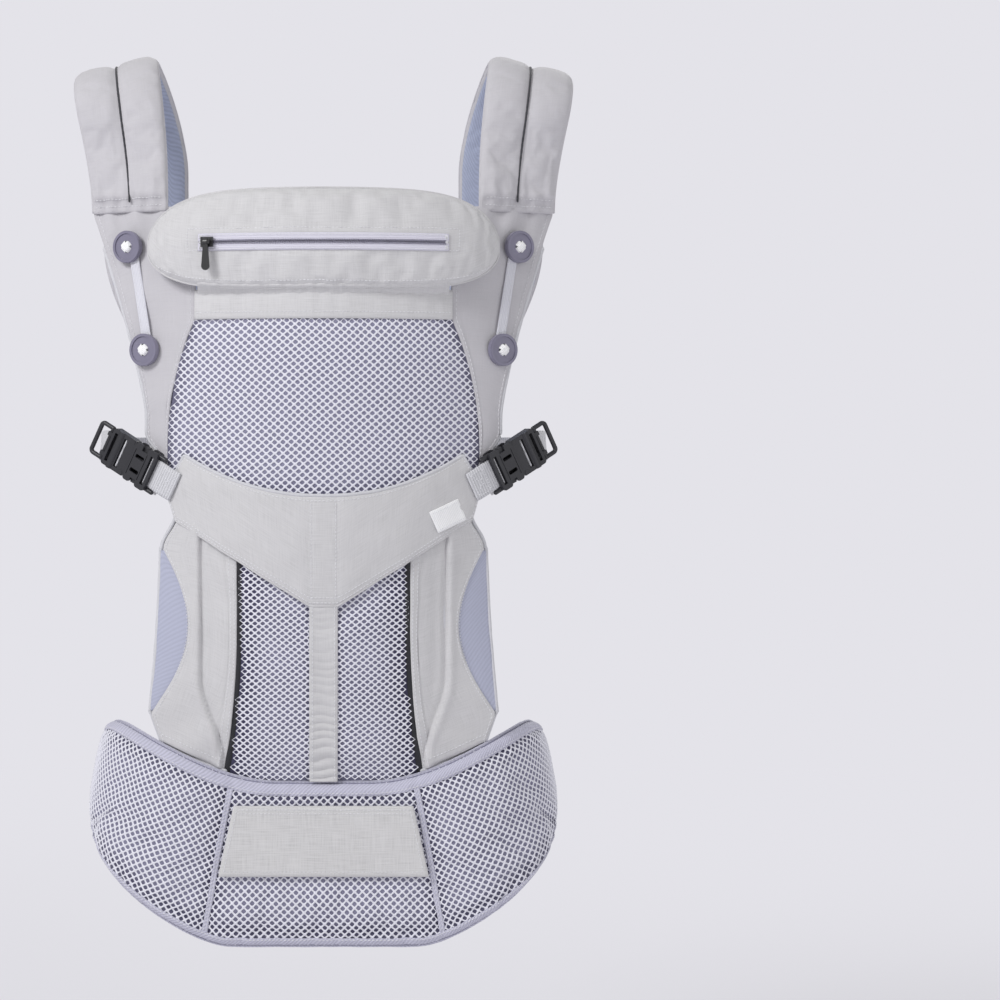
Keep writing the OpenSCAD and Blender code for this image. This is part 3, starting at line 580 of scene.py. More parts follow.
class Stitching:
    """Gathers rows of stitches, each a small round-ended thread, into one piece."""
    SIDES, RINGS = 5, 5

    def __init__(self):
        self.points, self.faces, self.ends, self.count = [], [], [], 0
        x, size = np.array([-1, -0.7, 0, 0.7, 1.0]), np.array([0.4, 0.9, 1, 0.9, 0.4])
        turn = circle(self.SIDES)
        self.shape = stack(x[:, None], size[:, None] * np.cos(turn), size[:, None] * np.sin(turn))
        self.sunk = -0.25 * (x ** 2)[:, None, None]
        faces = ring_faces(self.RINGS, self.SIDES)
        self.quads, self.caps = np.array(faces[:-2]), np.array(faces[-2:])

    def row(self, path, normal, pitch=3.3, share=0.68, radius=0.36, lift=0.15):
        normal = unit(np.broadcast_to(normal, path.shape))
        run = np.concatenate([[0], np.cumsum(np.linalg.norm(np.diff(path, axis=0), axis=1))])
        number = max(1, int(run[-1] / pitch))
        middle = (np.arange(number) + 0.5) * run[-1] / number

        def read(values, shift=0.0):
            return stack(*[np.interp(middle + shift, run, values[:, i]) for i in range(3)])
        up, along = unit(read(normal)), unit(read(path, 0.5) - read(path, -0.5))
        across, s = np.cross(up, along), self.shape
        points = (read(path)[:, None, None] + along[:, None, None] * (s[..., :1] * pitch * share / 2)[None]
                  + across[:, None, None] * (s[..., 1:2] * radius)[None]
                  + up[:, None, None] * (s[..., 2:] * radius + lift + self.sunk)[None])
        self.points.append(points.reshape(-1, 3))
        offset = self.count + np.arange(number)[:, None, None] * self.SIDES * self.RINGS
        self.faces.append((self.quads[None] + offset).reshape(-1, 4))
        self.ends.append((self.caps[None] + offset).reshape(-1, self.SIDES))
        self.count += number * self.SIDES * self.RINGS

    def make(self, name, body):
        faces = np.concatenate(self.faces).tolist() + np.concatenate(self.ends).tolist()
        return build(name, np.concatenate(self.points), faces, STITCH, body)


def lattice(a0, a1, b0, b1, pitch, inside, turn=0.0):
    """Middles of staggered diamonds that lie inside the outline, in the net's own plane."""
    px, pz = pitch
    rows = np.arange(math.floor(b0 / (pz / 2)), math.ceil(b1 / (pz / 2)) + 1)
    columns = np.arange(math.floor(a0 / px) - 1, math.ceil(a1 / px) + 2)
    r, c = np.meshgrid(rows, columns, indexing="ij")
    a, b = (c + (r % 2) * 0.5) * px, r * pz / 2
    keep = inside(*turned(a, b, turn))
    return np.stack([a[keep], b[keep]], axis=1)


def waver(a, b):
    """Threads of a net never run quite straight."""
    return a + 0.8 * np.sin(b / 16 + a / 37) + 0.4 * np.sin(b / 7.3), b + 0.7 * np.sin(a / 18 + b / 43)


HOLE, NET_HEIGHT, NET_DROP, CROSSING = 0.66, 0.75, 1.0, 0.25


def net(name, centres, pitch, place, nodes="", turn=0.0):
    """A knitted net of crossing threads with a real hole in each diamond.

    centres are the diamonds' middles in the net's own plane, which lies turned in the cloth, and
    place(a, b, lift) puts points on the piece.
    """
    ring = np.array([(1, 0), (0.5, 0.5), (0, 1), (-0.5, 0.5), (-1, 0), (-0.5, -0.5), (0, -1), (0.5, -0.5)])
    half, corner = np.array(pitch) / 2, np.arange(8) % 2 == 0
    outer = centres[:, None] + ring[None] * half
    inner = centres[:, None] + (ring * np.where(corner, 0.94, 1.12)[:, None])[None] * half * HOLE
    key = np.round(outer.reshape(-1, 2) * 4).astype(int)
    outer, inner = (stack(*turned(*waver(g[..., 0], g[..., 1]), turn)) for g in (outer, inner))
    height = np.broadcast_to(NET_HEIGHT + CROSSING * corner, outer.shape[:2])
    crown = place(outer[..., 0], outer[..., 1], height)
    edge, foot = (place(inner[..., 0], inner[..., 1], np.full(inner.shape[:2], lift))
                  for lift in (NET_HEIGHT * 0.4, -NET_DROP))
    _, first, index = np.unique(key, axis=0, return_index=True, return_inverse=True)
    index = index.reshape(outer.shape[:2])
    edge_at = len(first) + np.arange(len(centres) * 8).reshape(-1, 8)
    foot_at = edge_at + len(centres) * 8
    n = (np.arange(8) + 1) % 8
    top = np.stack([index, index[:, n], edge_at[:, n], edge_at], axis=-1)
    wall = np.stack([edge_at, edge_at[:, n], foot_at[:, n], foot_at], axis=-1)
    quads = np.concatenate([top.reshape(-1, 4), wall.reshape(-1, 4)]).tolist()
    faces = [f for f in quads if len(set(f)) == 4]
    points = np.concatenate([crown.reshape(-1, 3)[first], edge.reshape(-1, 3), foot.reshape(-1, 3)])
    return build(name, points, faces, NET, nodes=nodes)


class Surface:
    """A grid of points that can be read anywhere between them: s to the right, t up, lift outwards.

    On a left-hand piece s runs to the left, as the right-hand piece's mirror image does.
    """

    def __init__(self, grid, side=1):
        self.grid, self.normals, self.side = grid, grid_normals(grid), side

    def at(self, s, t, lift=0.0):
        s, t, lift = np.broadcast_arrays(np.asarray(s, float), t, lift)
        s = s if self.side > 0 else 1 - s
        rows, columns = self.grid.shape[:2]
        x, y = clamp01(s) * (columns - 1), clamp01(t) * (rows - 1)
        c, r = np.minimum(x.astype(int), columns - 2), np.minimum(y.astype(int), rows - 2)
        fx, fy = (x - c)[..., None], (y - r)[..., None]

        def read(g):
            return mix(mix(g[r, c], g[r, c + 1], fx), mix(g[r + 1, c], g[r + 1, c + 1], fx), fy)
        return read(self.grid) + read(self.normals) * np.asarray(lift, float)[..., None]

    def normal(self, s, t):
        return unit(self.at(s, t, 1.0) - self.at(s, t, 0.0))


def cover(name, grid, half, material, body="carrier", nodes="", side=1, **options):
    """A sheet of cloth over grid. Gives the piece and its outer face."""
    return sheet(name, grid, half, material, body, nodes, **options), Surface(raised(grid, half), side)


def lay(name, shape, columns, rows, half, material, body="carrier", nodes="", side=1, wrinkle=0.35,
        fold=28.0):
    """Cloth laid over shape(s, t), with soft wrinkles. Gives the piece and its outer face."""
    grid = handed(shape(*grid_st(columns, rows)), side)
    grid = raised(grid, wrinkle * wobble(grid, fold, 3.7))
    return cover(name, grid, half, material, body, nodes, side)


def own(nodes, side, hand):
    """CAD nodes that one hand's piece stands for: a plain name is one node for both hands."""
    return nodes % hand if "%s" in nodes else nodes * (side > 0)


def lay_both(name, shape, columns, rows, half, material, nodes="", body="carrier", **options):
    """The same cloth on the right and, mirrored, on the left, one after the other."""
    for side, hand in HANDS:
        named = own(nodes, side, hand)
        piece, surface = lay(name + hand, shape, columns, rows, half, material, body, named, side, **options)
        yield side, hand, piece, surface


def ribbon(path, across, width, rows=5):
    """Grid of a flat strip along path, across holding its width direction at each point."""
    reach = (span(-0.5, 0.5, rows) * width)[:, None, None]
    return path[None] + np.broadcast_to(across, path.shape)[None] * reach


def swell(piece, free, cap, grow, pressure=4.0, frames=16):
    """Inflates a closed mesh by cloth simulation. free says how loose each vertex is, 0 for sewn down."""
    rest = np.array([v.co for v in piece.data.vertices])
    group = piece.vertex_groups.new(name="sewn")
    for index, share in enumerate(free):
        group.add([index], float(1 - share), "REPLACE")
    cloth = piece.modifiers.new("Cloth", "CLOTH")
    settings = cloth.settings
    settings.quality, settings.mass = 6, 0.25
    settings.tension_stiffness = settings.compression_stiffness = 18
    settings.shear_stiffness, settings.bending_stiffness = 8, 0.4
    settings.use_pressure, settings.uniform_pressure_force = True, pressure
    settings.effector_weights.gravity = 0
    settings.shrink_min = -grow
    settings.vertex_group_mass, settings.pin_stiffness = "sewn", 1.0
    cloth.collision_settings.use_collision = False
    cloth.collision_settings.use_self_collision = False
    scene = bpy.context.scene
    for step in range(1, frames + 1):
        scene.frame_set(step)
    shaped = piece.evaluated_get(bpy.context.evaluated_depsgraph_get()).to_mesh()
    move = np.array([v.co for v in shaped.vertices]) - rest
    piece.modifiers.remove(cloth)
    scene.frame_set(1)
    length = np.linalg.norm(move, axis=1, keepdims=True)
    final = rest + move * cap * np.tanh(length / cap) / np.maximum(length, 1e-9)
    piece.data.vertices.foreach_set("co", final.astype(np.float32).ravel())
    piece.data.update()
    return final / MM


def padding(name, mid, half, material, loose, cap, grow, gain=1.0, body="carrier", nodes="", **options):
    """A closed padded piece, blown up where it is loose. Gives it, its points and their looseness."""
    pad = sheet(name, mid, half, material, body, nodes, **options)
    points = np.array([v.co for v in pad.data.vertices]) / MM
    free = np.concatenate([loose[0].ravel(), loose[1].ravel(), np.zeros(len(points) - 2 * loose[0].size)])
    points = swell(pad, clamp01(free * gain), cap, grow)
    return pad, points, free


def two_faces(points, shape, side=1):
    """The outer and the inner face of a padded piece."""
    count = shape[0] * shape[1]
    front, back = points[:count].reshape(*shape, 3), points[count:2 * count].reshape(*shape, 3)
    return Surface(front[:, ::side], side), Surface(back[:, ::-side], side)


seams = {body: Stitching() for body in ("carrier", "headrest", "harness", "chest_strap")}


def sew(surface, s, t, body="carrier", rows=None, **options):
    """Rows of stitches on a surface along the path s, t. A tuple of places gives a row at each of them."""
    for across in s if isinstance(s, tuple) else (s,):
        for rise in t if isinstance(t, tuple) else (t,):
            a, b = np.broadcast_arrays(np.asarray(across, float), rise)
            (rows or seams[body]).row(surface.at(a, b), surface.normal(a, b), **options)


# ------------------------------------------------------------------ waistband

WAIST_PITCH, WING_PITCH, LOWER_PITCH, UPPER_PITCH = (6.8, 6.8), (6.4, 6.4), (6.8, 5.4), (7.0, 6.2)
WING_TURN = 0.31
SEAM_TOP, SEAM_BOTTOM = 78.0, 104.0
PAD_END = WING_END - 3
WAIST_WEB_Z, WAIST_WEB = 41.0, 40.0


def seam_u(t):
    return mix(SEAM_BOTTOM, SEAM_TOP, t)


def pad_s(u):
    return (u / PAD_END + 1) / 2


def waist_pad():
    """The padded band, blown up between its sewn edges and its two slanted seams."""
    s, t = grid_st(170, 25)
    u = mix(-PAD_END, PAD_END, s)
    z = band_z(u, mix(0.008, 0.992, t))
    mid = band_point(u, z, PAD_D)
    from_seam = np.abs(u) - seam_u(t)
    crown = dome(2 * t - 1, 4) * np.sqrt(1.001 - clamp01((np.abs(u) - 325) / 20) ** 2)
    half = 1.6 + 5.4 * crown * (1 - 0.45 * bump(from_seam, 7.0))
    # Painted shade for the inner layer: darker a little in from the band's edges and along the slanted seams,
    # on a base level with random patches, lighter again at the very rim
    near_edge = np.minimum(t, 1 - t) * (band_top(u) - band_bottom(u))
    dark = np.maximum(0.7 * bump(near_edge - 12, 9.0), 0.9 * bump(from_seam, 9.0))
    dark = clamp01(dark + 0.2 + 0.2 * wobble(mid, 30.0, 8.0)) * smooth((near_edge - 1) / 6)
    under_patch = smooth((101 - np.abs(u)) / 8) * smooth((38 - np.abs(z)) / 6)
    loose = crown * (1 - bump(from_seam, 3.0)) * (1 - under_patch)
    _, points, _ = padding("waist_pad", mid, half, GROUND, (loose, loose * 0.8), 5.0, 0.02,
                           nodes="waist_foam", rim=1.2, dark=dark)
    return two_faces(points, s.shape)


def waist_nets(front):
    """Spacer mesh of the centre and of both wings, sewn together along the slanted seams."""
    def place(u, z, lift):
        lo, hi = band_z(u, 0.0), band_z(u, 1.0)
        return front.at(pad_s(u), clamp01((z - lo) / (hi - lo)), lift)

    def centre(u, z):
        lo, hi = band_bottom(u), band_top(u)
        limit = seam_u(clamp01((z - lo) / (hi - lo))) - 1.5
        under_patch = (np.abs(u) < 71) & (np.abs(z) < 25)
        return (np.abs(u) < limit) & (z > lo + 2) & (z < hi - 2) & ~under_patch

    def wing(u, z):
        lo, hi = band_z(u, 0.0), band_z(u, 1.0)
        limit = seam_u(clamp01((z - lo) / (hi - lo))) + 1.5
        return (u > limit) & (u < WING_END - 10) & (z > lo + 2) & (z < hi - 2)

    cells = lattice(-110, 110, -100, 60, WAIST_PITCH, centre)
    net("waist_net_centre", cells, WAIST_PITCH, place, "waist_mesh_centre")
    cells = lattice(40, WING_END + 30, -250, 60, WING_PITCH, wing, WING_TURN)
    for side, hand in HANDS:
        spread = cells * np.array([side, 1])
        net("waist_net_" + hand, spread, WING_PITCH, place, "waist_mesh_" + hand, WING_TURN * side)


def waist_edges(front, back):
    """Seam tapes, rolled edges, hems, lining and the grey ends of the wings."""
    for side, hand in HANDS:
        s, rise = grid_st(5, 30)
        u = side * (seam_u(rise) + 4.6 * (s - 0.5))
        grid = front.at(pad_s(u[:, ::side]), mix(0.01, 0.99, rise), 0.9)
        sheet("waist_seam_" + hand, grid, 0.5, PIPING)
        sew(Surface(raised(grid, 0.45)), (0.24, 0.76), within(0.02, 30), radius=0.3)
    run = span(0, 1, 260)
    for name, level, size, shift in (("top", 1.0, 1.5, 0.8), ("bottom", 0.0, 1.3, -0.8)):
        path = (front.at(run, level) + back.at(1 - run, level)) / 2 + shift * UP
        tube("waist_edge_" + name, path, size + 0.35 * wobble(path, 9.0, 2.0), PIPING, sides=10)
    for name, low, high, level in (("top", 0.925, 0.992, 0.2), ("bottom", 0.008, 0.045, 0.8)):
        s, rise = grid_st(240, 6)
        grid = front.at(s, mix(low, high, rise), 1.0 + 0.5 * np.sin(np.pi * rise))
        _, tape = cover("waist_hem_" + name, raised(grid, 0.25 * wobble(grid, 14.0, 3.0)), 0.45, PIPING)
        sew(tape, within(0.01, 260), level, radius=0.3)
    s, rise = grid_st(120, 22)
    grid = back.at(s, mix(0.02, 0.98, rise), 0.7)
    _, inner = cover("waist_lining_cloth", grid, 0.5, GREY_INNER, nodes="waist_lining")
    sew(inner, within(0.01, 200), (0.05, 0.95))
    s, rise = grid_st(8, 18)
    for side, hand in HANDS:
        reach = mix(0.955, 0.999, s)
        reach = reach if side > 0 else 1 - reach[:, ::-1]
        for face, surface, where in (("front", front, reach), ("back", back, 1 - reach[:, ::-1])):
            sheet("wing_cap_%s_%s" % (face, hand), surface.at(where, mix(0.03, 0.97, rise), 1.5), 0.5, GREY)


def pouch_patch():
    def shape(s, t):
        half = mix(90.0, 77.0, t) - 0.8
        dip = 0.25 * np.cos(6 * np.pi * s) * np.sin(np.pi * t)
        return stack(mix(-half, half, s), 1.1 + dip, mix(-29.7, 29.7, t))

    _, surface = lay("pouch_patch_cloth", shape, 60, 24, 1.0, PATCH_CLOTH, nodes="pouch_patch", wrinkle=0.1)
    sew(surface, within(0.02, 60), (0.06, 0.90, 0.955))
    sew(surface, (0.018, 0.982), within(0.05, 30))


def waist_webbings():
    """Webbing from each wing to the waist buckle behind the wearer, and its turn in the socket's slot."""
    start, back = WING_END - 34, WAIST_FLAT + HALF_TURN

    def path(end, rise):
        u = span(start, end, 70)
        sunk = 9.5 * smooth((WING_END + 22 - u) / 40) + 0.8 * smooth((WING_END - u) / 10)
        ahead = 10.0 - rise * smooth((u - back) / 60) - sunk
        return band_point(u, FLARE_Z, ahead) + UP * (WAIST_WEB_Z - FLARE_Z)

    grid = ribbon(path(back + WAIST_FLAT - 21, 7.0), UP, WAIST_WEB)
    sheet("waist_webbing_socket_side", grid, 0.9, WEBBING, nodes="waist_webbing", rim=1.0)
    grid = ribbon(mirrored(path(back + WAIST_FLAT - 34, 0.0), -1)[::-1], UP, WAIST_WEB)
    sheet("waist_webbing_plug_side", grid, 0.9, WEBBING, rim=1.0)
    slot_roll("waist_turn", lambda v: np.array([20.0, 209.3, 62.0]) + v * np.array([-1, -1, 1]), 32.0, 1.25)


# ------------------------------------------------------------------ body panel

def painted_net_shade(x, z, edge, reach=16.0):
    """Painted shade on a net's inner layer: deep near its edges, with soft random patches."""
    return clamp01(bump(edge, reach) + 0.22 + 0.25 * wobble(stack(x, 0 * x, z), 35.0, 5.0))


def lower_bulge(x, z):
    """How far the lower mesh stands out: full on both sides of the strip, sunk at its edges."""
    share = clamp01(np.abs(x) / (binding_x(z) - 0.8))
    low = smooth((z - 50) / 30) * smooth((seat_lower(x) + 2 - z) / 34)
    return -0.4 + 4.8 * (1 - share ** 3) * low - 1.2 * bump(x, 10.0)


def upper_bulge(x, z):
    share = clamp01(np.abs(x) / mesh_edge(z))
    return 0.8 + 3.4 * (1 - share ** 4) * smooth((z - seat_upper(x) + 8) / 30) * smooth((452 - z) / 40)


def lower_mesh():
    s, t = grid_st(46, 52)
    row = mix(51.0, 258.0, t)
    x = mix(-1, 1, s) * (binding_x(row) - 0.8)
    z = np.maximum(row, above_band(x) - 3)
    # Painted shade: darker towards the bindings at the sides and in the gap beside the centre strip
    dark = painted_net_shade(x, z, binding_x(z) - np.abs(x), 17.0)
    dark = np.maximum(dark, 0.8 * bump(np.abs(x) - STRIP_HALF, 6.0))
    sheet("lower_mesh_ground", on_panel(x, z, lower_bulge(x, z)), 0.7, GROUND, nodes="lower_mesh", dark=dark)

    def inside(x, z):
        open_mesh = (np.abs(x) < binding_x(z) - 1.5) & (np.abs(x) > STRIP_HALF - 5)
        return open_mesh & (z > above_band(x) + 1) & (z < seat_lower(x) + 7)

    cells = lattice(-84, 84, 45, 262, LOWER_PITCH, inside)
    net("lower_net", cells, LOWER_PITCH, lambda x, z, lift: on_panel(x, z, lower_bulge(x, z) + 0.9 + lift))


def upper_mesh():
    s, t = grid_st(64, 40)
    x = mix(-1, 1, s)
    z = mix(seat_upper(110 * x) - 12, PANEL_MID, t)
    x = x * (mesh_edge(z) + 1)
    # Painted shade: darker towards the side edges and the seat band, lightened overall
    edge = np.minimum(mesh_edge(z) - np.abs(x), z - seat_upper(x))
    dark = clamp01(0.8 * painted_net_shade(x, z, edge, 8.0) - 0.25)
    sheet("upper_mesh_ground", on_panel(x, z, upper_bulge(x, z)), 0.7, GROUND, nodes="upper_mesh", dark=dark)

    def inside(x, z):
        return (np.abs(x) < mesh_edge(z) - 0.5) & (z > seat_upper(x) - 5) & (z < PANEL_MID - 1)

    cells = lattice(-134, 134, 280, PANEL_MID, UPPER_PITCH, inside)
    net("upper_net", cells, UPPER_PITCH, lambda x, z, lift: on_panel(x, z, upper_bulge(x, z) + 0.9 + lift))


def bindings():
    """Black edging in the shadow gap beside the lower mesh."""
    def shape(s, t):
        z = mix(above_band(80) - 2, 258, t)
        return on_panel(binding_x(z) + mix(-1.5, 5.0, s), z, -1.2 + 1.8 * np.sin(np.pi * s))

    list(lay_both("edge_binding_", shape, 6, 60, 0.7, BINDING, "edge_bindings", wrinkle=0.2))


def side_panels():
    """Cloth beside the lower mesh, with a pressed pleat and a wide inner hem."""
    def ahead(x, z, s):
        pleat_x = mix(88.0, 106.0, smooth((z - 70) / 70))
        step = 2.4 * smooth((x - pleat_x) / 2.2 + 0.5) + 1.3 * bump(x - pleat_x - 3.4, 3.0)
        step = step - 1.6 * bump(x - pleat_x + 2.6, 2.6) - 0.8 * bump(x - 0.5 * (pleat_x + 84), 5.0)
        hem = 0.7 * smooth((0.115 - s) / 0.02) - 0.5 * bump(s - 0.135, 0.02)
        pull = 0.9 * np.sin(z / 8.0 + x / 11.0) * smooth((135 - z) / 50)
        pull = pull + 0.8 * np.sin(z / 13.0 - x / 9.0) * smooth((z - 210) / 40)
        return 0.4 + step + hem + pull

    def shape(s, t):
        z_in, z_out = mix(above_band(88.0), 268.0, t), mix(84.0, 274.0, t)
        x = mix(binding_x(z_in) + 4.2, panel_outer(z_out), s)
        z = np.maximum(mix(z_in, z_out, s), above_band(x))
        return on_panel(x, z, ahead(x, z, s))

    for *_, surface in lay_both("side_panel_cloth_", shape, 64, 62, 0.9, GREY, "side_panel_%s", wrinkle=1.2):
        sew(surface, (0.030, 0.095, 0.965), span(0, 1, 60))
        sew(surface, span(0.03, 0.96, 60), 0.035)


def inserts():
    """Stretch inserts at the sides of the seat, between a concave seam and the panel's edge."""
    def shape(s, t):
        z = mix(110.0, 247.0, t)
        x = mix(insert_inner(z) - 2.5, insert_outer(z), s)
        return on_panel(x, z, 0.9 + 1.2 * np.sin(np.pi * s) * np.sin(np.pi * t))

    for side, hand, _, surface in lay_both("side_insert_", shape, 14, 48, 0.8, INSERT, "side_inserts",
                                           wrinkle=0.4):
        sew(surface, 0.10, span(0, 1, 60), pitch=2.6)
        z = span(108, 249, 60)
        tube("insert_seam_" + hand, mirrored(on_panel(insert_inner(z) - 1.0, z, 2.4), side), 0.9, GREY_INNER)


def panel_edges():
    """Rolled edge that closes outer cloth and lining together, from the waistband up to the straps."""
    z, x = span(84, 510, 190), span(84, 139, 40)
    for side, hand in HANDS:
        path = mirrored(on_panel(outer_edge(z) + 0.4, z, 0.1), side)
        tube("panel_edge_" + hand, path, 1.9 + 0.25 * wobble(path, 12.0, 4.0), GREY_INNER, sides=10)
        tube("waist_join_" + hand, mirrored(on_panel(x, above_band(x) + 0.5, 1.4), side), 1.5, GREY_INNER)


def seat_band():
    """V-shaped band across the seat, with a bound upper edge and rows of stitching."""
    def shape(s, t):
        x = mix(-SEAT_HALF, SEAT_HALF, s)
        z = mix(seat_lower(x) + 0.6, seat_upper(x) - 0.6, t)
        middle = -0.5 * bump(np.abs(x) - STRIP_HALF, 2.5)
        pull = 0.7 * np.sin(x / 4.5 + z / 9) * smooth((np.abs(x) - 88) / 35)
        return on_panel(x, z, 4.0 + 1.3 * dome(2 * t - 1, 4) + middle + pull)

    _, surface = lay("seat_band_cloth", shape, 110, 34, 1.0, GREY, nodes="seat_band", wrinkle=0.9, fold=24.0)
    wide = within(0.004, 200)
    sew(surface, wide, (0.955, 0.03, 0.075))
    inset = (STRIP_HALF - 1.2) / SEAT_HALF
    sew(surface, ((1 - inset) / 2, (1 + inset) / 2), span(0.05, 0.94, 40))
    edge = surface.at(wide, 1.0, -0.6) + 0.3 * UP
    tube("seat_band_binding", edge, 1.5 + 0.15 * wobble(edge, 10.0, 6.0), GREY_INNER, sides=10)
    tube("seat_band_hem", surface.at(wide, 0.0, -0.6), 1.1, GREY)


def centre_strip():
    """Strip down the middle, crinkled more and more towards the waistband."""
    def shape(s, t):
        x, z = mix(-STRIP_HALF, STRIP_HALF, s), mix(50.6, 204.0, t)
        phase = z * 0.80 + 1.6 * np.sin(z * 0.13) + 0.9 * np.sin(x * 0.22 + z * 0.05)
        ridge = (np.abs(np.sin(phase / 2)) - 0.5) * (1 - 0.55 * np.abs(2 * s - 1) ** 4)
        ridge = ridge * mix(1.5, 0.35, smooth((z - 55) / 120))
        return on_panel(x, z, np.maximum(lower_bulge(x, z) + 1.4, 3.2) + 0.8 + ridge)

    _, surface = lay("centre_strip_cloth", shape, 16, 190, 0.8, GREY, nodes="centre_strip", wrinkle=0.25)
    sew(surface, (0.09, 0.91), within(0.01, 150))


def top_band():
    """Gathered band above the upper mesh, into which the headrest is sewn."""
    def shape(s, t):
        x = mix(-110, 110, s)
        gather = 0.35 * np.sin(x * 0.31 + 1.8 * np.sin(x * 0.07)) * mix(0.3, 1.0, t)
        return on_panel(x, mix(445.8, 470.4, t), 2.6 + 1.3 * np.sin(np.pi * t) + gather)

    _, surface = lay("top_band_cloth", shape, 170, 10, 0.8, GREY, nodes="top_band", wrinkle=0.3, fold=20.0)
    sew(surface, within(0.004, 120), 0.22)


def yokes():
    """Cloth between upper mesh and strap. Its upper end meets the strap; the piece rides on no body."""
    def shape(s, t):
        z = mix(319.0, 544.0, t)
        x = mix(yoke_inner(z), yoke_outer(np.minimum(z, 540)) - 0.6, s)
        pleat = 2.0 * smooth((z - 500) / 44) * np.sin(5.5 * np.pi * s + 0.6 + z / 30)
        puff = 1.1 * np.sin(np.pi * clamp01(s)) * smooth((z - 325) / 25)
        hem = 0.5 * smooth((0.10 - s) / 0.03) + 0.5 * smooth((s - 0.92) / 0.03)
        return on_panel(x, z, 1.0 + pleat * smooth(s * 6) * smooth((1 - s) * 6) + puff + hem)

    for _, hand, cloth, surface in lay_both("yoke_cloth_", shape, 40, 96, 0.9, GREY_STRAP, "yoke_%s", None,
                                            wrinkle=1.8, fold=30.0):
        rows = Stitching()
        sew(surface, (0.055, 0.945), span(0.03, 0.985, 90), rows=rows, pitch=3.8, radius=0.3)
        stitches = rows.make("yoke_stitches_" + hand, None)
        for piece in (cloth, stitches):
            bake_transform(piece)


def panel_lining():
    """Inner cloth of the panel, against the baby."""
    s, t = grid_st(90, 110)
    z = mix(50.0, 469.8, t)
    for _ in range(4):
        above = mix(panel_outer(z) - 1, yoke_outer(z) - 6, smooth((z - 280) / 60))
        half = np.where(z < 280, panel_outer(z) - 1, above)
        x = mix(-half, half, s)
        z = mix(above_band(x) - 4, 469.8, t)
    grid = on_panel(x, z, -1.7 - 2.4 * np.sin(np.pi * s) * np.sin(np.pi * t) ** 0.5)[:, ::-1]
    grid = raised(grid, 0.9 * wobble(grid, 45.0, 1.0) + 0.3 * wobble(grid, 16.0, 2.0))
    _, surface = cover("panel_lining_cloth", grid, 0.75, GREY_INNER, nodes="panel_lining")
    long = within(0.01, 140)
    sew(surface, (0.025, 0.05, 0.95, 0.975), long)
    sew(surface, (0.30, 0.70), long, pitch=4.2)
    sew(surface, long, (0.015, 0.985))


def label_tag():
    """Blank woven label sewn to the seat band."""
    def shape(s, t):
        x, z = turned(27 * (s - 0.5), 19 * (t - 0.5), math.radians(24))
        return on_panel(106 + x, 278 + z, 6.9 + 0.9 * (1 - t) ** 2 + 0.3 * np.sin(np.pi * s))

    _, surface = lay("label_cloth", shape, 16, 12, 0.4, TAPE, nodes="label_tag", wrinkle=0.2, fold=9.0)
    sew(surface, within(0.06, 12), (0.88, 0.10), pitch=2.2, radius=0.28)


# ------------------------------------------------------------------ buttons, tabs and buckles

BUTTON_UPPER, BUTTON_LOWER = np.array([166.0, 510.0]), np.array([151.0, 420.0])
BUTTON_TOP, UPPER_LIFT = 9.4, 1.5


def at_button(place, right, up, out):
    """Point on a button, measured from where its middle meets the panel."""
    return on_panel(*place) + stack(*turned(right, -out, PANEL_TURN), up)


def button_tapes():
    """White tape from button to button, and the cross of tape that holds each of them."""
    def shape(s, t):
        z = mix(BUTTON_LOWER[1] - 8, BUTTON_UPPER[1] + 8, t)
        share = (z - BUTTON_LOWER[1]) / (BUTTON_UPPER[1] - BUTTON_LOWER[1])
        x = mix(BUTTON_LOWER[0], BUTTON_UPPER[0], share) + 8 * (s - 0.5)
        return on_panel(x, z, 5.3 + 0.3 * np.sin(z / 11))

    for side, hand, _, surface in lay_both("button_tape_", shape, 5, 50, 0.45, BUTTON_TAPE, "button_tapes",
                                           wrinkle=0.15):
        sew(surface, (0.16, 0.84), within(0.02, 40), pitch=2.8, radius=0.3)
        sew(surface, within(0.1, 8), (0.22, 0.78), pitch=2.0, radius=0.3)
        for level, place, top in (("upper", BUTTON_UPPER, BUTTON_TOP + UPPER_LIFT),
                                  ("lower", BUTTON_LOWER, BUTTON_TOP)):
            for number, turn in enumerate((math.radians(45), math.radians(-45))):
                s, t = grid_st(5, 13)
                rise = top + 0.9 + 0.5 * number - 3.4 * clamp01(np.abs(2 * t - 1)) ** 7
                grid = at_button(place, *turned(mix(-2.4, 2.4, s), mix(-5.0, 5.0, t), turn), rise)
                sheet("button_cross_%s_%s_%d" % (level, hand, number), handed(grid, side), 0.45, TAPE)


def slot_roll(name, place, web, k=1.0, side=1):
    """The turn of webbing that shows in a socket's slot."""
    turn, across = circle(24), span(-0.5, 0.5, 12) * (web - 0.6)
    ring = stack(4.3 + 1.15 * np.cos(turn)[None], 3.3 * np.sin(turn)[None], across[:, None])
    uv = stack(across[:, None], 1.6 * turn[None])
    build(name, place(ring * k), ring_faces(len(across), len(turn)), WEBBING, uv=uv, flip=side < 0)


def cross_tabs():
    """Stitched webbing from each end of the seat band into the side buckle's slot."""
    t = span(0, 1, 24)
    path = side_point(stack(mix(-25.0, -0.2, t), -0.4 - 1.1 * np.sin(np.pi * t) + 0.4 * t, 0 * t))
    box = span(0.10, 0.62, 16)
    for side, hand in HANDS:
        grid = handed(ribbon(path, side_vector(UP), SIDE_WEB, 9), side)
        nodes = own("side_tabs", side, hand)
        _, surface = cover("side_tab_" + hand, grid, 1.0, WEBBING, nodes=nodes, side=side)
        sew(surface, (0.10, 0.62), within(0.1, 16), pitch=2.4)
        sew(surface, box, (0.10, 0.90, span(0.1, 0.9, 16), span(0.9, 0.1, 16)), pitch=2.4)
        slot_roll("side_tab_turn_" + hand, lambda v: mirrored(side_point(v), side), SIDE_WEB, side=side)


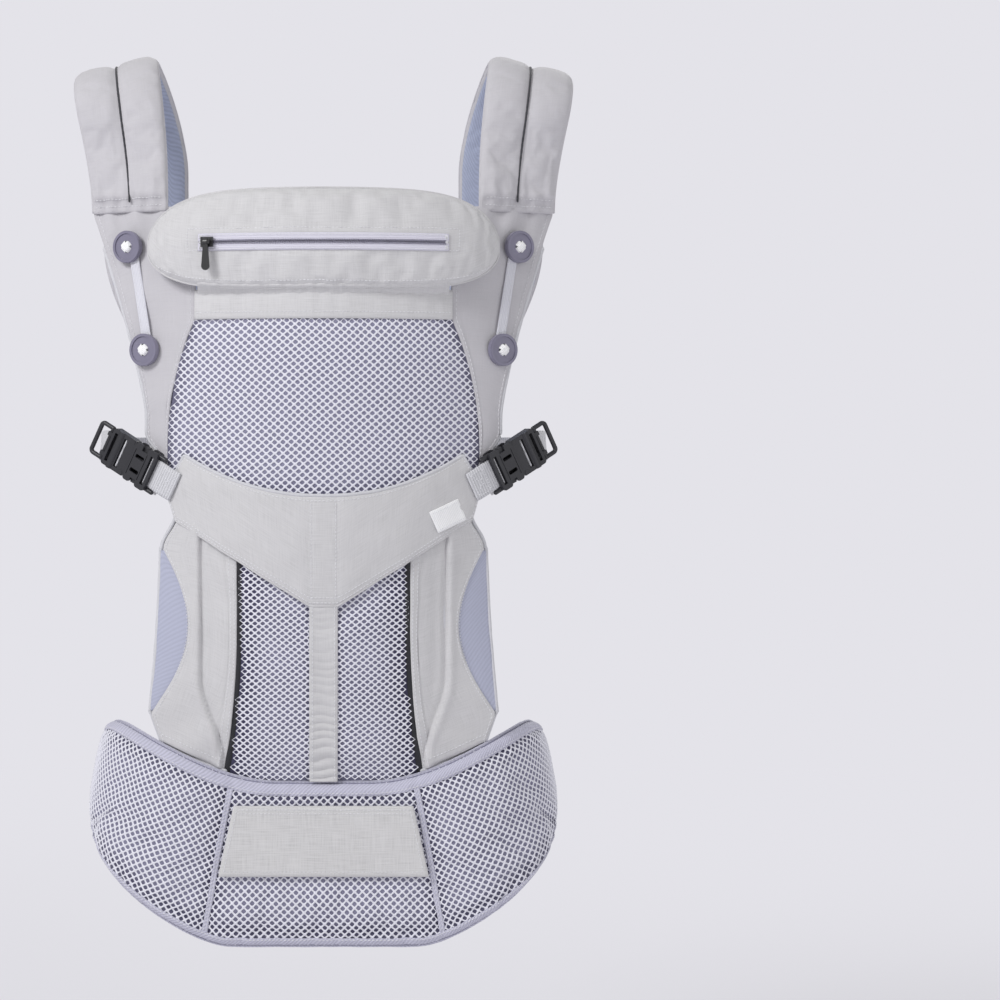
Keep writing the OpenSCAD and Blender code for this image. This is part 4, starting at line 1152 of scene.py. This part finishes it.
def buckle_pads():
    """Padded tongue behind each side buckle."""
    def shape(s, t):
        half = mix(19.0, 13.0, smooth(s)) * np.sqrt(1.0001 - 0.35 * clamp01((s - 0.75) / 0.25) ** 2)
        return side_point(stack(mix(-4.5, 37.0, s), 10.4 - 0.8 * s, half * (2 * t - 1)))

    s, t = grid_st(30, 24)
    half = 0.9 + 1.5 * dome(2 * t - 1, 3) * dome(2 * s - 1, 6)
    for *_, surface in lay_both("buckle_pad_", shape, 30, 24, half, GREY, "buckle_pads", wrinkle=0.3):
        sew(surface, span(0.05, 0.93, 30), (0.10, 0.90))
        sew(surface, 0.93, within(0.1, 20))


def bezier(points, t):
    a, b, c, d = points
    r, t = (1 - t)[:, None], t[:, None]
    return a * r ** 3 + 3 * b * r * r * t + 3 * c * r * t * t + d * t ** 3


def side_webbings():
    """Webbing from each side plug round to the strap behind, in two halves."""
    curve = [side_point([49, 6.2, 0]), np.array([214.0, 96, 342]), np.array([196.0, 204, 324]),
             np.array([137.0, 208, 334])]
    lead = side_point([[35.5, -2.6, 0], [36.2, 0.6, 0], [38.5, 4.2, 0], [43.0, 6.0, 0]])
    near, far = span(0.0, 0.60, 44), span(0.56, 1.0, 44)
    near_path = np.concatenate([lead, bezier(curve, near)])
    far_path = bezier(curve, far) - np.array([4.5, 0, 0])
    near = np.concatenate([np.zeros(len(lead)), near])
    for side, hand in HANDS:
        for part, body, t, path, nodes in (("near", "side_plug_" + hand, near, near_path, "side_webbing_%s"),
                                           ("far", "harness", far, far_path, "strap_webbings")):
            across = unit(mix(side_vector(UP), UP, smooth(t * 2.5)[:, None]))
            grid = handed(ribbon(path, across, SIDE_WEB, 7), side)
            sheet("side_web_%s_%s" % (part, hand), grid, 0.85, WEBBING, body, own(nodes, side, hand))
        strap_end(side, hand)


def strap_end(side, hand):
    """Folded cloth tab at the strap's lower end, sewn round the side webbing."""
    s, t = grid_st(18, 24)
    half = mix(15.0, 19.0, t) * np.sqrt(1.0001 - 0.25 * clamp01((0.12 - t) / 0.12) ** 2)
    pinch = smooth((t - 0.72) / 0.28)
    for face, depth, turn in (("front", -1.9, 1), ("back", 1.9, -1)):
        y = 207.2 + depth * mix(1, 0.4, pinch) * dome(2 * s - 1, 6, 0.1) - 0.8 * pinch
        grid = mirrored(stack(127.0 + (2 * s - 1) * half, y, mix(318.5, 357.0, t)), side)[:, ::side * turn]
        _, surface = cover("strap_end_%s_%s" % (face, hand), grid, 0.6, GREY_STRAP, "harness")
        sew(surface, within(0.1, 16), (0.08, 0.62), "harness", pitch=2.4)
        sew(surface, (span(0.1, 0.9, 20), span(0.9, 0.1, 20)), span(0.08, 0.62, 20), "harness", pitch=2.4)


def chest_webbings():
    """Chest strap's webbing between its glides and buckle, with elastic keepers on the loose ends."""
    y, level, web = 209.0, 535.0, 20.0
    x = span(-176, -26, 60)
    grid = ribbon(stack(x, y, level), -UP, web)
    sheet("chest_web_plug_side", grid, 0.75, WEBBING, "chest_strap", "chest_webbing", rim=1.0)
    x = span(176, 9.8, 60)
    grid = ribbon(stack(x, y + 4.5 * (1 - smooth((x - 16) / 60)), level), UP, web)
    sheet("chest_web_socket_side", grid, 0.75, WEBBING, "chest_strap", rim=1.0)
    turn = circle(40)
    square = np.maximum(np.abs(np.cos(turn)), np.abs(np.sin(turn))) ** 0.7
    for side, hand in HANDS:
        path = stack(62.0 * side, y + 2.6 * np.sin(turn) / square, level + 11.6 * np.cos(turn) / square)
        path = np.concatenate([path, path[:2]])
        tube("chest_keeper_" + hand, path, 2.6, TAPE, "chest_strap", sides=10, flat=([0, 1, 0], 0.35))


# ------------------------------------------------------------------ headrest

HEAD_HALF = HEAD_W - 0.6


def head_s(x):
    return (np.arcsin(np.clip(x / HEAD_HALF, -1, 1)) / (np.pi / 2) + 1) / 2


def head_t(x, z):
    return (z - head_lower(x)) / (head_upper(x) - head_lower(x))


def zip_point(a, z, r):
    return stack(r * np.sin(a), ZIP_CENTRE_Y - r * np.cos(a), z)


def headrest_pillow():
    """Pillow of the headrest, blown up between its seams, pressed flat under the zip's tape."""
    s, t = grid_st(84, 42)
    x = HEAD_HALF * np.sin(np.pi / 2 * (2 * s - 1))
    z = mix(head_lower(x) + 0.5, head_upper(x) - 0.5, t)
    mid = stack(x, head_y(x, z), z)
    puff = dome(2 * t - 1, 3) * dome(x / HEAD_W, 6)
    pillow, points, free = padding("headrest_pillow", mid, 1.6 + 9.6 * puff, GREY, (puff, puff), 7.0, 0.03,
                                   1.4, "headrest", "headrest_front headrest_back headrest_foam", rim=1.0)
    face = points[:s.size]
    reach = np.hypot(face[:, 0], face[:, 1] - ZIP_CENTRE_Y)
    press = smooth((12 - np.abs(face[:, 2] - ZIP_Z)) / 4.5) * smooth((ZIP_HALF + 7 - np.abs(face[:, 0])) / 6)
    scale = mix(reach, ZIP_R - 0.25, press) / reach
    face[:, 0] *= scale
    face[:, 1] = ZIP_CENTRE_Y + (face[:, 1] - ZIP_CENTRE_Y) * scale
    wrinkle = 0.45 * wobble(points, 26.0, 9.0) + 0.2 * wobble(points, 9.0, 4.0)
    points[:, 1] += wrinkle * np.concatenate([free[:s.size] * (1 - press), free[s.size:]])
    pillow.data.vertices.foreach_set("co", (points * MM).astype(np.float32).ravel())
    pillow.data.update()
    smoothed(pillow)
    seam = np.array([mid[r, c] for r, c in border(*s.shape)])
    seam = np.concatenate([seam, seam[:2]])
    outward = unit(seam - np.array([0, seam[:, 1].mean(), HEAD_MID_Z])) * 1.6
    tube("headrest_seam", seam + outward * np.array([1, 0, 1]), 0.9, GREY, "headrest", sides=6)
    return two_faces(points, s.shape)[0]


def headrest_stitching(front):
    x = span(-ZIP_HALF - 4, ZIP_HALF + 4, 90)
    for z in (ZIP_Z - 9.0, ZIP_Z + 9.0):
        sew(front, head_s(x), head_t(x, z), "headrest")
    z = span(ZIP_Z - 9.0, ZIP_Z + 9.0, 10)
    for end in (x[0], x[-1]):
        sew(front, head_s(end), head_t(end, z), "headrest", pitch=2.4)
    sew(front, within(0.1, 120), 0.055, "headrest")


def pocket_zip():
    a, rows = span(-ZIP_ANGLE, ZIP_ANGLE, 90), span(0, 1, 5)[:, None]
    turns = (2 * ZIP_ANGLE * ZIP_R - 5) / 1.5
    share = span(0, 1, int(turns * 8))
    phase, along = share * turns * 2 * np.pi, mix(-ZIP_ANGLE + 0.008, ZIP_ANGLE - 0.008, share)
    for name, side, low, high, level, nodes in (("lower", -1, -7.0, -0.9, 0.18, ""),
                                                ("upper", 1, 0.9, 7.0, 0.82, "zip_tape")):
        grid = zip_point(a[None], ZIP_Z + mix(low, high, rows), ZIP_R + 0.5)
        _, face = cover("zip_tape_" + name, grid, 0.45, ZIP_CLOTH, "headrest", nodes)
        sew(face, span(0, 1, 60), level, "headrest", pitch=2.8, radius=0.28)
        level, reach = ZIP_Z + side * 1.05 + 0.85 * np.cos(phase), ZIP_R + 1.05 + 0.5 * np.sin(phase)
        path = zip_point(along, level, reach)
        tube("zip_coil_" + name, path, 0.33, COIL, "headrest", sides=5)
    z = span(ZIP_Z - 6.4, ZIP_Z + 6.4, 12)
    for end in (-1, 1):
        for shift in (1.4, 2.3, 3.2):
            path = zip_point(end * (ZIP_ANGLE - shift / ZIP_R), z, ZIP_R + 1.15)
            seams["headrest"].row(path, np.array([0.33 * end, -0.94, 0]), pitch=3.2, share=0.95, radius=0.42)


def elastic_loops():
    def shape(s, t):
        x = mix(122.0, 151.4, s)
        y = head_y(x, 508.0) + HEAD_T / 2 * dome(np.minimum(1, x / HEAD_W), 6, 0.04) + 1.3
        half = 4.0 * np.sqrt(1.0001 - clamp01((s - 0.86) / 0.14) ** 2 * 0.8)
        return stack(x, y, 508 + half * (2 * t - 1))

    list(lay_both("headrest_loop_", shape, 24, 6, 0.5, TAPE, "headrest_loops", "headrest", wrinkle=0.1))


def headrest_hem():
    """Fold of cloth that the headrest turns on, sewn into the top band."""
    def shape(s, t):
        x = mix(-107, 107, s)
        z = mix(466.5, head_lower(x) + 3.5, t)
        foot, head = on_panel(x, z, 3.0)[..., 1], head_y(x, z) - 3.6
        crease = 1.3 * bump(t - 0.55, 0.18) + 0.3 * np.sin(x * 0.7)
        return stack(x, mix(foot, head, smooth(t * 1.1)) + crease, z)

    hem, _ = lay("headrest_hem", shape, 120, 14, 0.8, GREY, None, wrinkle=0.3, fold=14.0)
    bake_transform(hem)


# ------------------------------------------------------------------ shoulder straps

def strap_pad():
    """One padded strap, blown up between its edges and the groove along its middle."""
    s, t = grid_st(25, 170)
    w, d = (2 * s - 1) * 0.985, t * STRAP_LEN
    ends = mix(0.3, 1, smooth(d / 16)) * mix(0.35, 1, smooth((STRAP_LEN - d) / 14))
    ends = ends * (1 - 0.4 * bump(d - 8, 2.6))
    hump, crown = dome(2 * np.abs(w) - 1, 2, 0.02), dome(w, 4, 0.02)
    gather = 1.7 * np.sin(w * 5.4 * np.pi + 0.5 + d / 40) * mix(0.35, 1, smooth(d / 9)) * crown
    gather = gather * (1 - smooth((d - 6) / (34 + 16 * np.sin(w * 9 + 1.3))))
    outer, inner = (2.2 + 4.4 * hump) * ends + gather, (1.8 + 4.2 * crown) * ends
    loose = smooth(np.minimum(d, STRAP_LEN - d) / 18)
    loose = (hump * loose * smooth(np.abs(w) * 5), crown * loose * 0.6)
    pad, points, _ = padding("strap_pad", strap_point(d, w), outer, GREY_STRAP, loose, 3.2, 0.03, 1.2,
                             "harness", rim=0.4, back=inner)
    faces = [tuple(p.vertices) for p in pad.data.polygons]
    uv = np.zeros(len(pad.data.loops) * 2)
    pad.data.uv_layers[0].data.foreach_get("uv", uv)
    bpy.data.objects.remove(pad)
    return points, faces, uv, s.shape


def straps():
    points, faces, uv, shape = strap_pad()
    for side, hand in HANDS:
        shaped = mirrored(points, side)
        shaped = shaped + np.array([0, 1, 0.4]) * (0.5 * wobble(shaped, 22.0, 6.0))[:, None]
        nodes = "strap_cover_" + hand + own(" strap_foams", side, hand)
        pad = build("strap_pad_" + hand, shaped, faces, GREY_STRAP, "harness", nodes, flip=side < 0)
        pad.data.uv_layers.new(name="UVMap").data.foreach_set("uv", uv)
        smoothed(pad)
        front, inside = two_faces(shaped, shape, side)
        strap_trim(front, side, hand)
        strap_liner(inside, side, hand)


def strap_trim(front, side, hand):
    """Stitches at the strap's ends, the dark cord in its groove and its two rolled edges."""
    sew(front, within(0.05, 30), (5.0 / STRAP_LEN, 11.0 / STRAP_LEN), "harness", lift=0.3)
    sew(front, (0.35, 0.65), span(0.93, 0.985, 20), "harness", pitch=2.6, lift=0.3)
    d = span(9, STRAP_LEN - 38, 170)
    path = mirrored(strap_point(d, 0, 4.3), side)
    nodes = own("strap_pipings", side, hand)
    tube("strap_cord_" + hand, path, 0.95 + 0.07 * np.sin(d * 1.1), CORD, "harness", nodes)
    d = span(1, STRAP_LEN - 1, 190)
    for edge, w in (("inner", -1.0), ("outer", 1.0)):
        path = mirrored(strap_point(d, w, -0.4), side)
        path = path + np.array([0, 1, 0]) * (0.4 * wobble(path, 30.0, 2.0))[:, None]
        tube("strap_edge_%s_%s" % (edge, hand), path, 1.0, GREY_STRAP, "harness")


def strap_liner(inside, side, hand):
    """Ribbed liner, with creases where the strap bends over the shoulder."""
    s, t = grid_st(26, 200)
    d, w = t * STRAP_LEN, 2 * s - 1
    over = smooth((d - 45) / 30) * smooth((FRONT_LEN + ARCH_LEN + 25 - d) / 30)
    crease = np.sin(d * 2 * np.pi / 17 + 1.4 * np.sin(d / 31) + 2.2 * w)
    lift = 0.75 + over * np.maximum(0, crease) ** 2 * np.sin(np.pi * s)
    rib = 0.22 * np.sin((d * 0.66 + w * 37 * 0.75) * 2 * np.pi / 3.4)
    grid = inside.at(mix(0.97, 0.03, s), mix(0.015, 0.985, t), lift + rib)
    if np.sum(grid_normals(grid) * (grid - mirrored(strap_mid(d), side))) < 0:
        grid = grid[:, ::-1]
    sheet("strap_liner_" + hand, grid, 0.5, LINER, "harness", own("strap_liners", side, hand))


# ------------------------------------------------------------------ hard parts

def hard_parts():
    """The moulded parts are the CAD's own, with softened edges and real finishes."""
    finish = {"zip_slider": METAL, "zip_pull": METAL, "buttons": BUTTON}
    for name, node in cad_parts.items():
        if node.hide_render:
            continue
        node.data.materials.clear()
        node.data.materials.append(finish.get(name, BLACK))
        bevel = node.modifiers.new("edge", "BEVEL")
        bevel.width, bevel.segments = (0.5 if name == "buttons" else 0.35) * MM, 2
        bevel.limit_method, bevel.angle_limit = "ANGLE", math.radians(32)
        for polygon in node.data.polygons:
            polygon.use_smooth = True
        node.modifiers.new("facets", "EDGE_SPLIT").split_angle = math.radians(32)


# ------------------------------------------------------------------ stage, light and camera

BACKDROP = (0.775, 0.768, 0.815, 1.0)


def mix_shaders(tree, factor, first, second, output):
    """Sends a mix of two shaders to the tree's output."""
    blend = tree.nodes.new("ShaderNodeMixShader")
    for socket, target in ((factor, blend.inputs[0]), (first, blend.inputs[1]), (second, blend.inputs[2]),
                           (blend.outputs[0], tree.nodes[output].inputs["Surface"])):
        tree.links.new(socket, target)


def floor():
    """Wide pale floor that fades into the background, so that no horizon shows."""
    r = Recipe("floor", 0.9)
    place = r.add("TexCoord", out="Object")
    reach = r.add("VectorMath", out="Value", props={"operation": "LENGTH"}, _0=place)
    fade = r.math("SMOOTH_MIN", r.times(reach, 0.5), 1.0)
    r.finish(shade(BACKDROP, 0.96))
    far = r.add("Emission", Color=BACKDROP, Strength=1.0)
    mix_shaders(r, fade, r.shader.outputs[0], far, "Material Output")
    rings, sides = 12, 96
    reach = span(0.02, 1, rings)[:, None] ** 2 * 9000
    points = stack(reach * np.cos(circle(sides)), reach * np.sin(circle(sides)), -300)
    k = np.arange(sides)
    n = (k + 1) % sides
    faces = [tuple(range(sides))]
    for inner in range(0, (rings - 1) * sides, sides):
        faces += np.stack([inner + k, inner + sides + k, inner + sides + n, inner + n], axis=1).tolist()
    build("studio_floor", points, faces, r.material, None)


def light(name, place, energy, size):
    """A square area light that points at the object's middle."""
    data = bpy.data.lights.new(name, "AREA")
    data.energy, data.size = energy, size
    lamp = bpy.data.objects.new(name, data)
    lamp.location = place
    lamp.rotation_euler = (Vector((0, 0.05, 0.3)) - Vector(place)).to_track_quat("-Z", "Y").to_euler()
    bpy.context.scene.collection.objects.link(lamp)


def studio():
    """Even white surroundings behind a pale backdrop, three soft lights and the camera."""
    scene = bpy.context.scene
    world = scene.world = bpy.data.worlds.new("studio")
    world.use_nodes = True
    nodes = world.node_tree.nodes
    seen, lit, ray = nodes["Background"], nodes.new("ShaderNodeBackground"), nodes.new("ShaderNodeLightPath")
    seen.inputs[0].default_value = BACKDROP
    lit.inputs[0].default_value, lit.inputs[1].default_value = (1.0, 1.0, 1.0, 1.0), 0.47
    tree = world.node_tree
    mix_shaders(tree, ray.outputs["Is Camera Ray"], lit.outputs[0], seen.outputs[0], "World Output")
    light("key", (-2.0, -1.7, 2.2), 62, 1.1)
    light("fill", (2.0, -2.2, 0.6), 14, 2.0)
    light("back", (0.8, 2.6, 1.8), 30, 1.8)
    scene.view_settings.view_transform = "Standard"
    lens = bpy.data.cameras.new("camera")
    lens.sensor_width, lens.lens, lens.shift_x = 36.0, 97.4, 0.1765
    camera = bpy.data.objects.new("camera", lens)
    rise, distance, height = math.radians(1.5), 2.3, 0.2915
    camera.location = (0, -distance * math.cos(rise), height + distance * math.sin(rise))
    camera.rotation_euler = (math.radians(90) - rise, 0, 0)
    scene.collection.objects.link(camera)
    scene.camera = camera


# ------------------------------------------------------------------ putting it together

waist_front, waist_back = waist_pad()
waist_nets(waist_front)
waist_edges(waist_front, waist_back)
for make in (pouch_patch, waist_webbings, lower_mesh, upper_mesh, bindings, side_panels, inserts, panel_edges,
             seat_band, centre_strip, top_band, yokes, panel_lining, label_tag, button_tapes, cross_tabs,
             buckle_pads, side_webbings, chest_webbings):
    make()
headrest_stitching(headrest_pillow())
for make in (pocket_zip, elastic_loops, headrest_hem, straps):
    make()
for body, rows in seams.items():
    if rows.points:
        rows.make("stitches_" + body, body)
for make in (hard_parts, floor, studio):
    make()
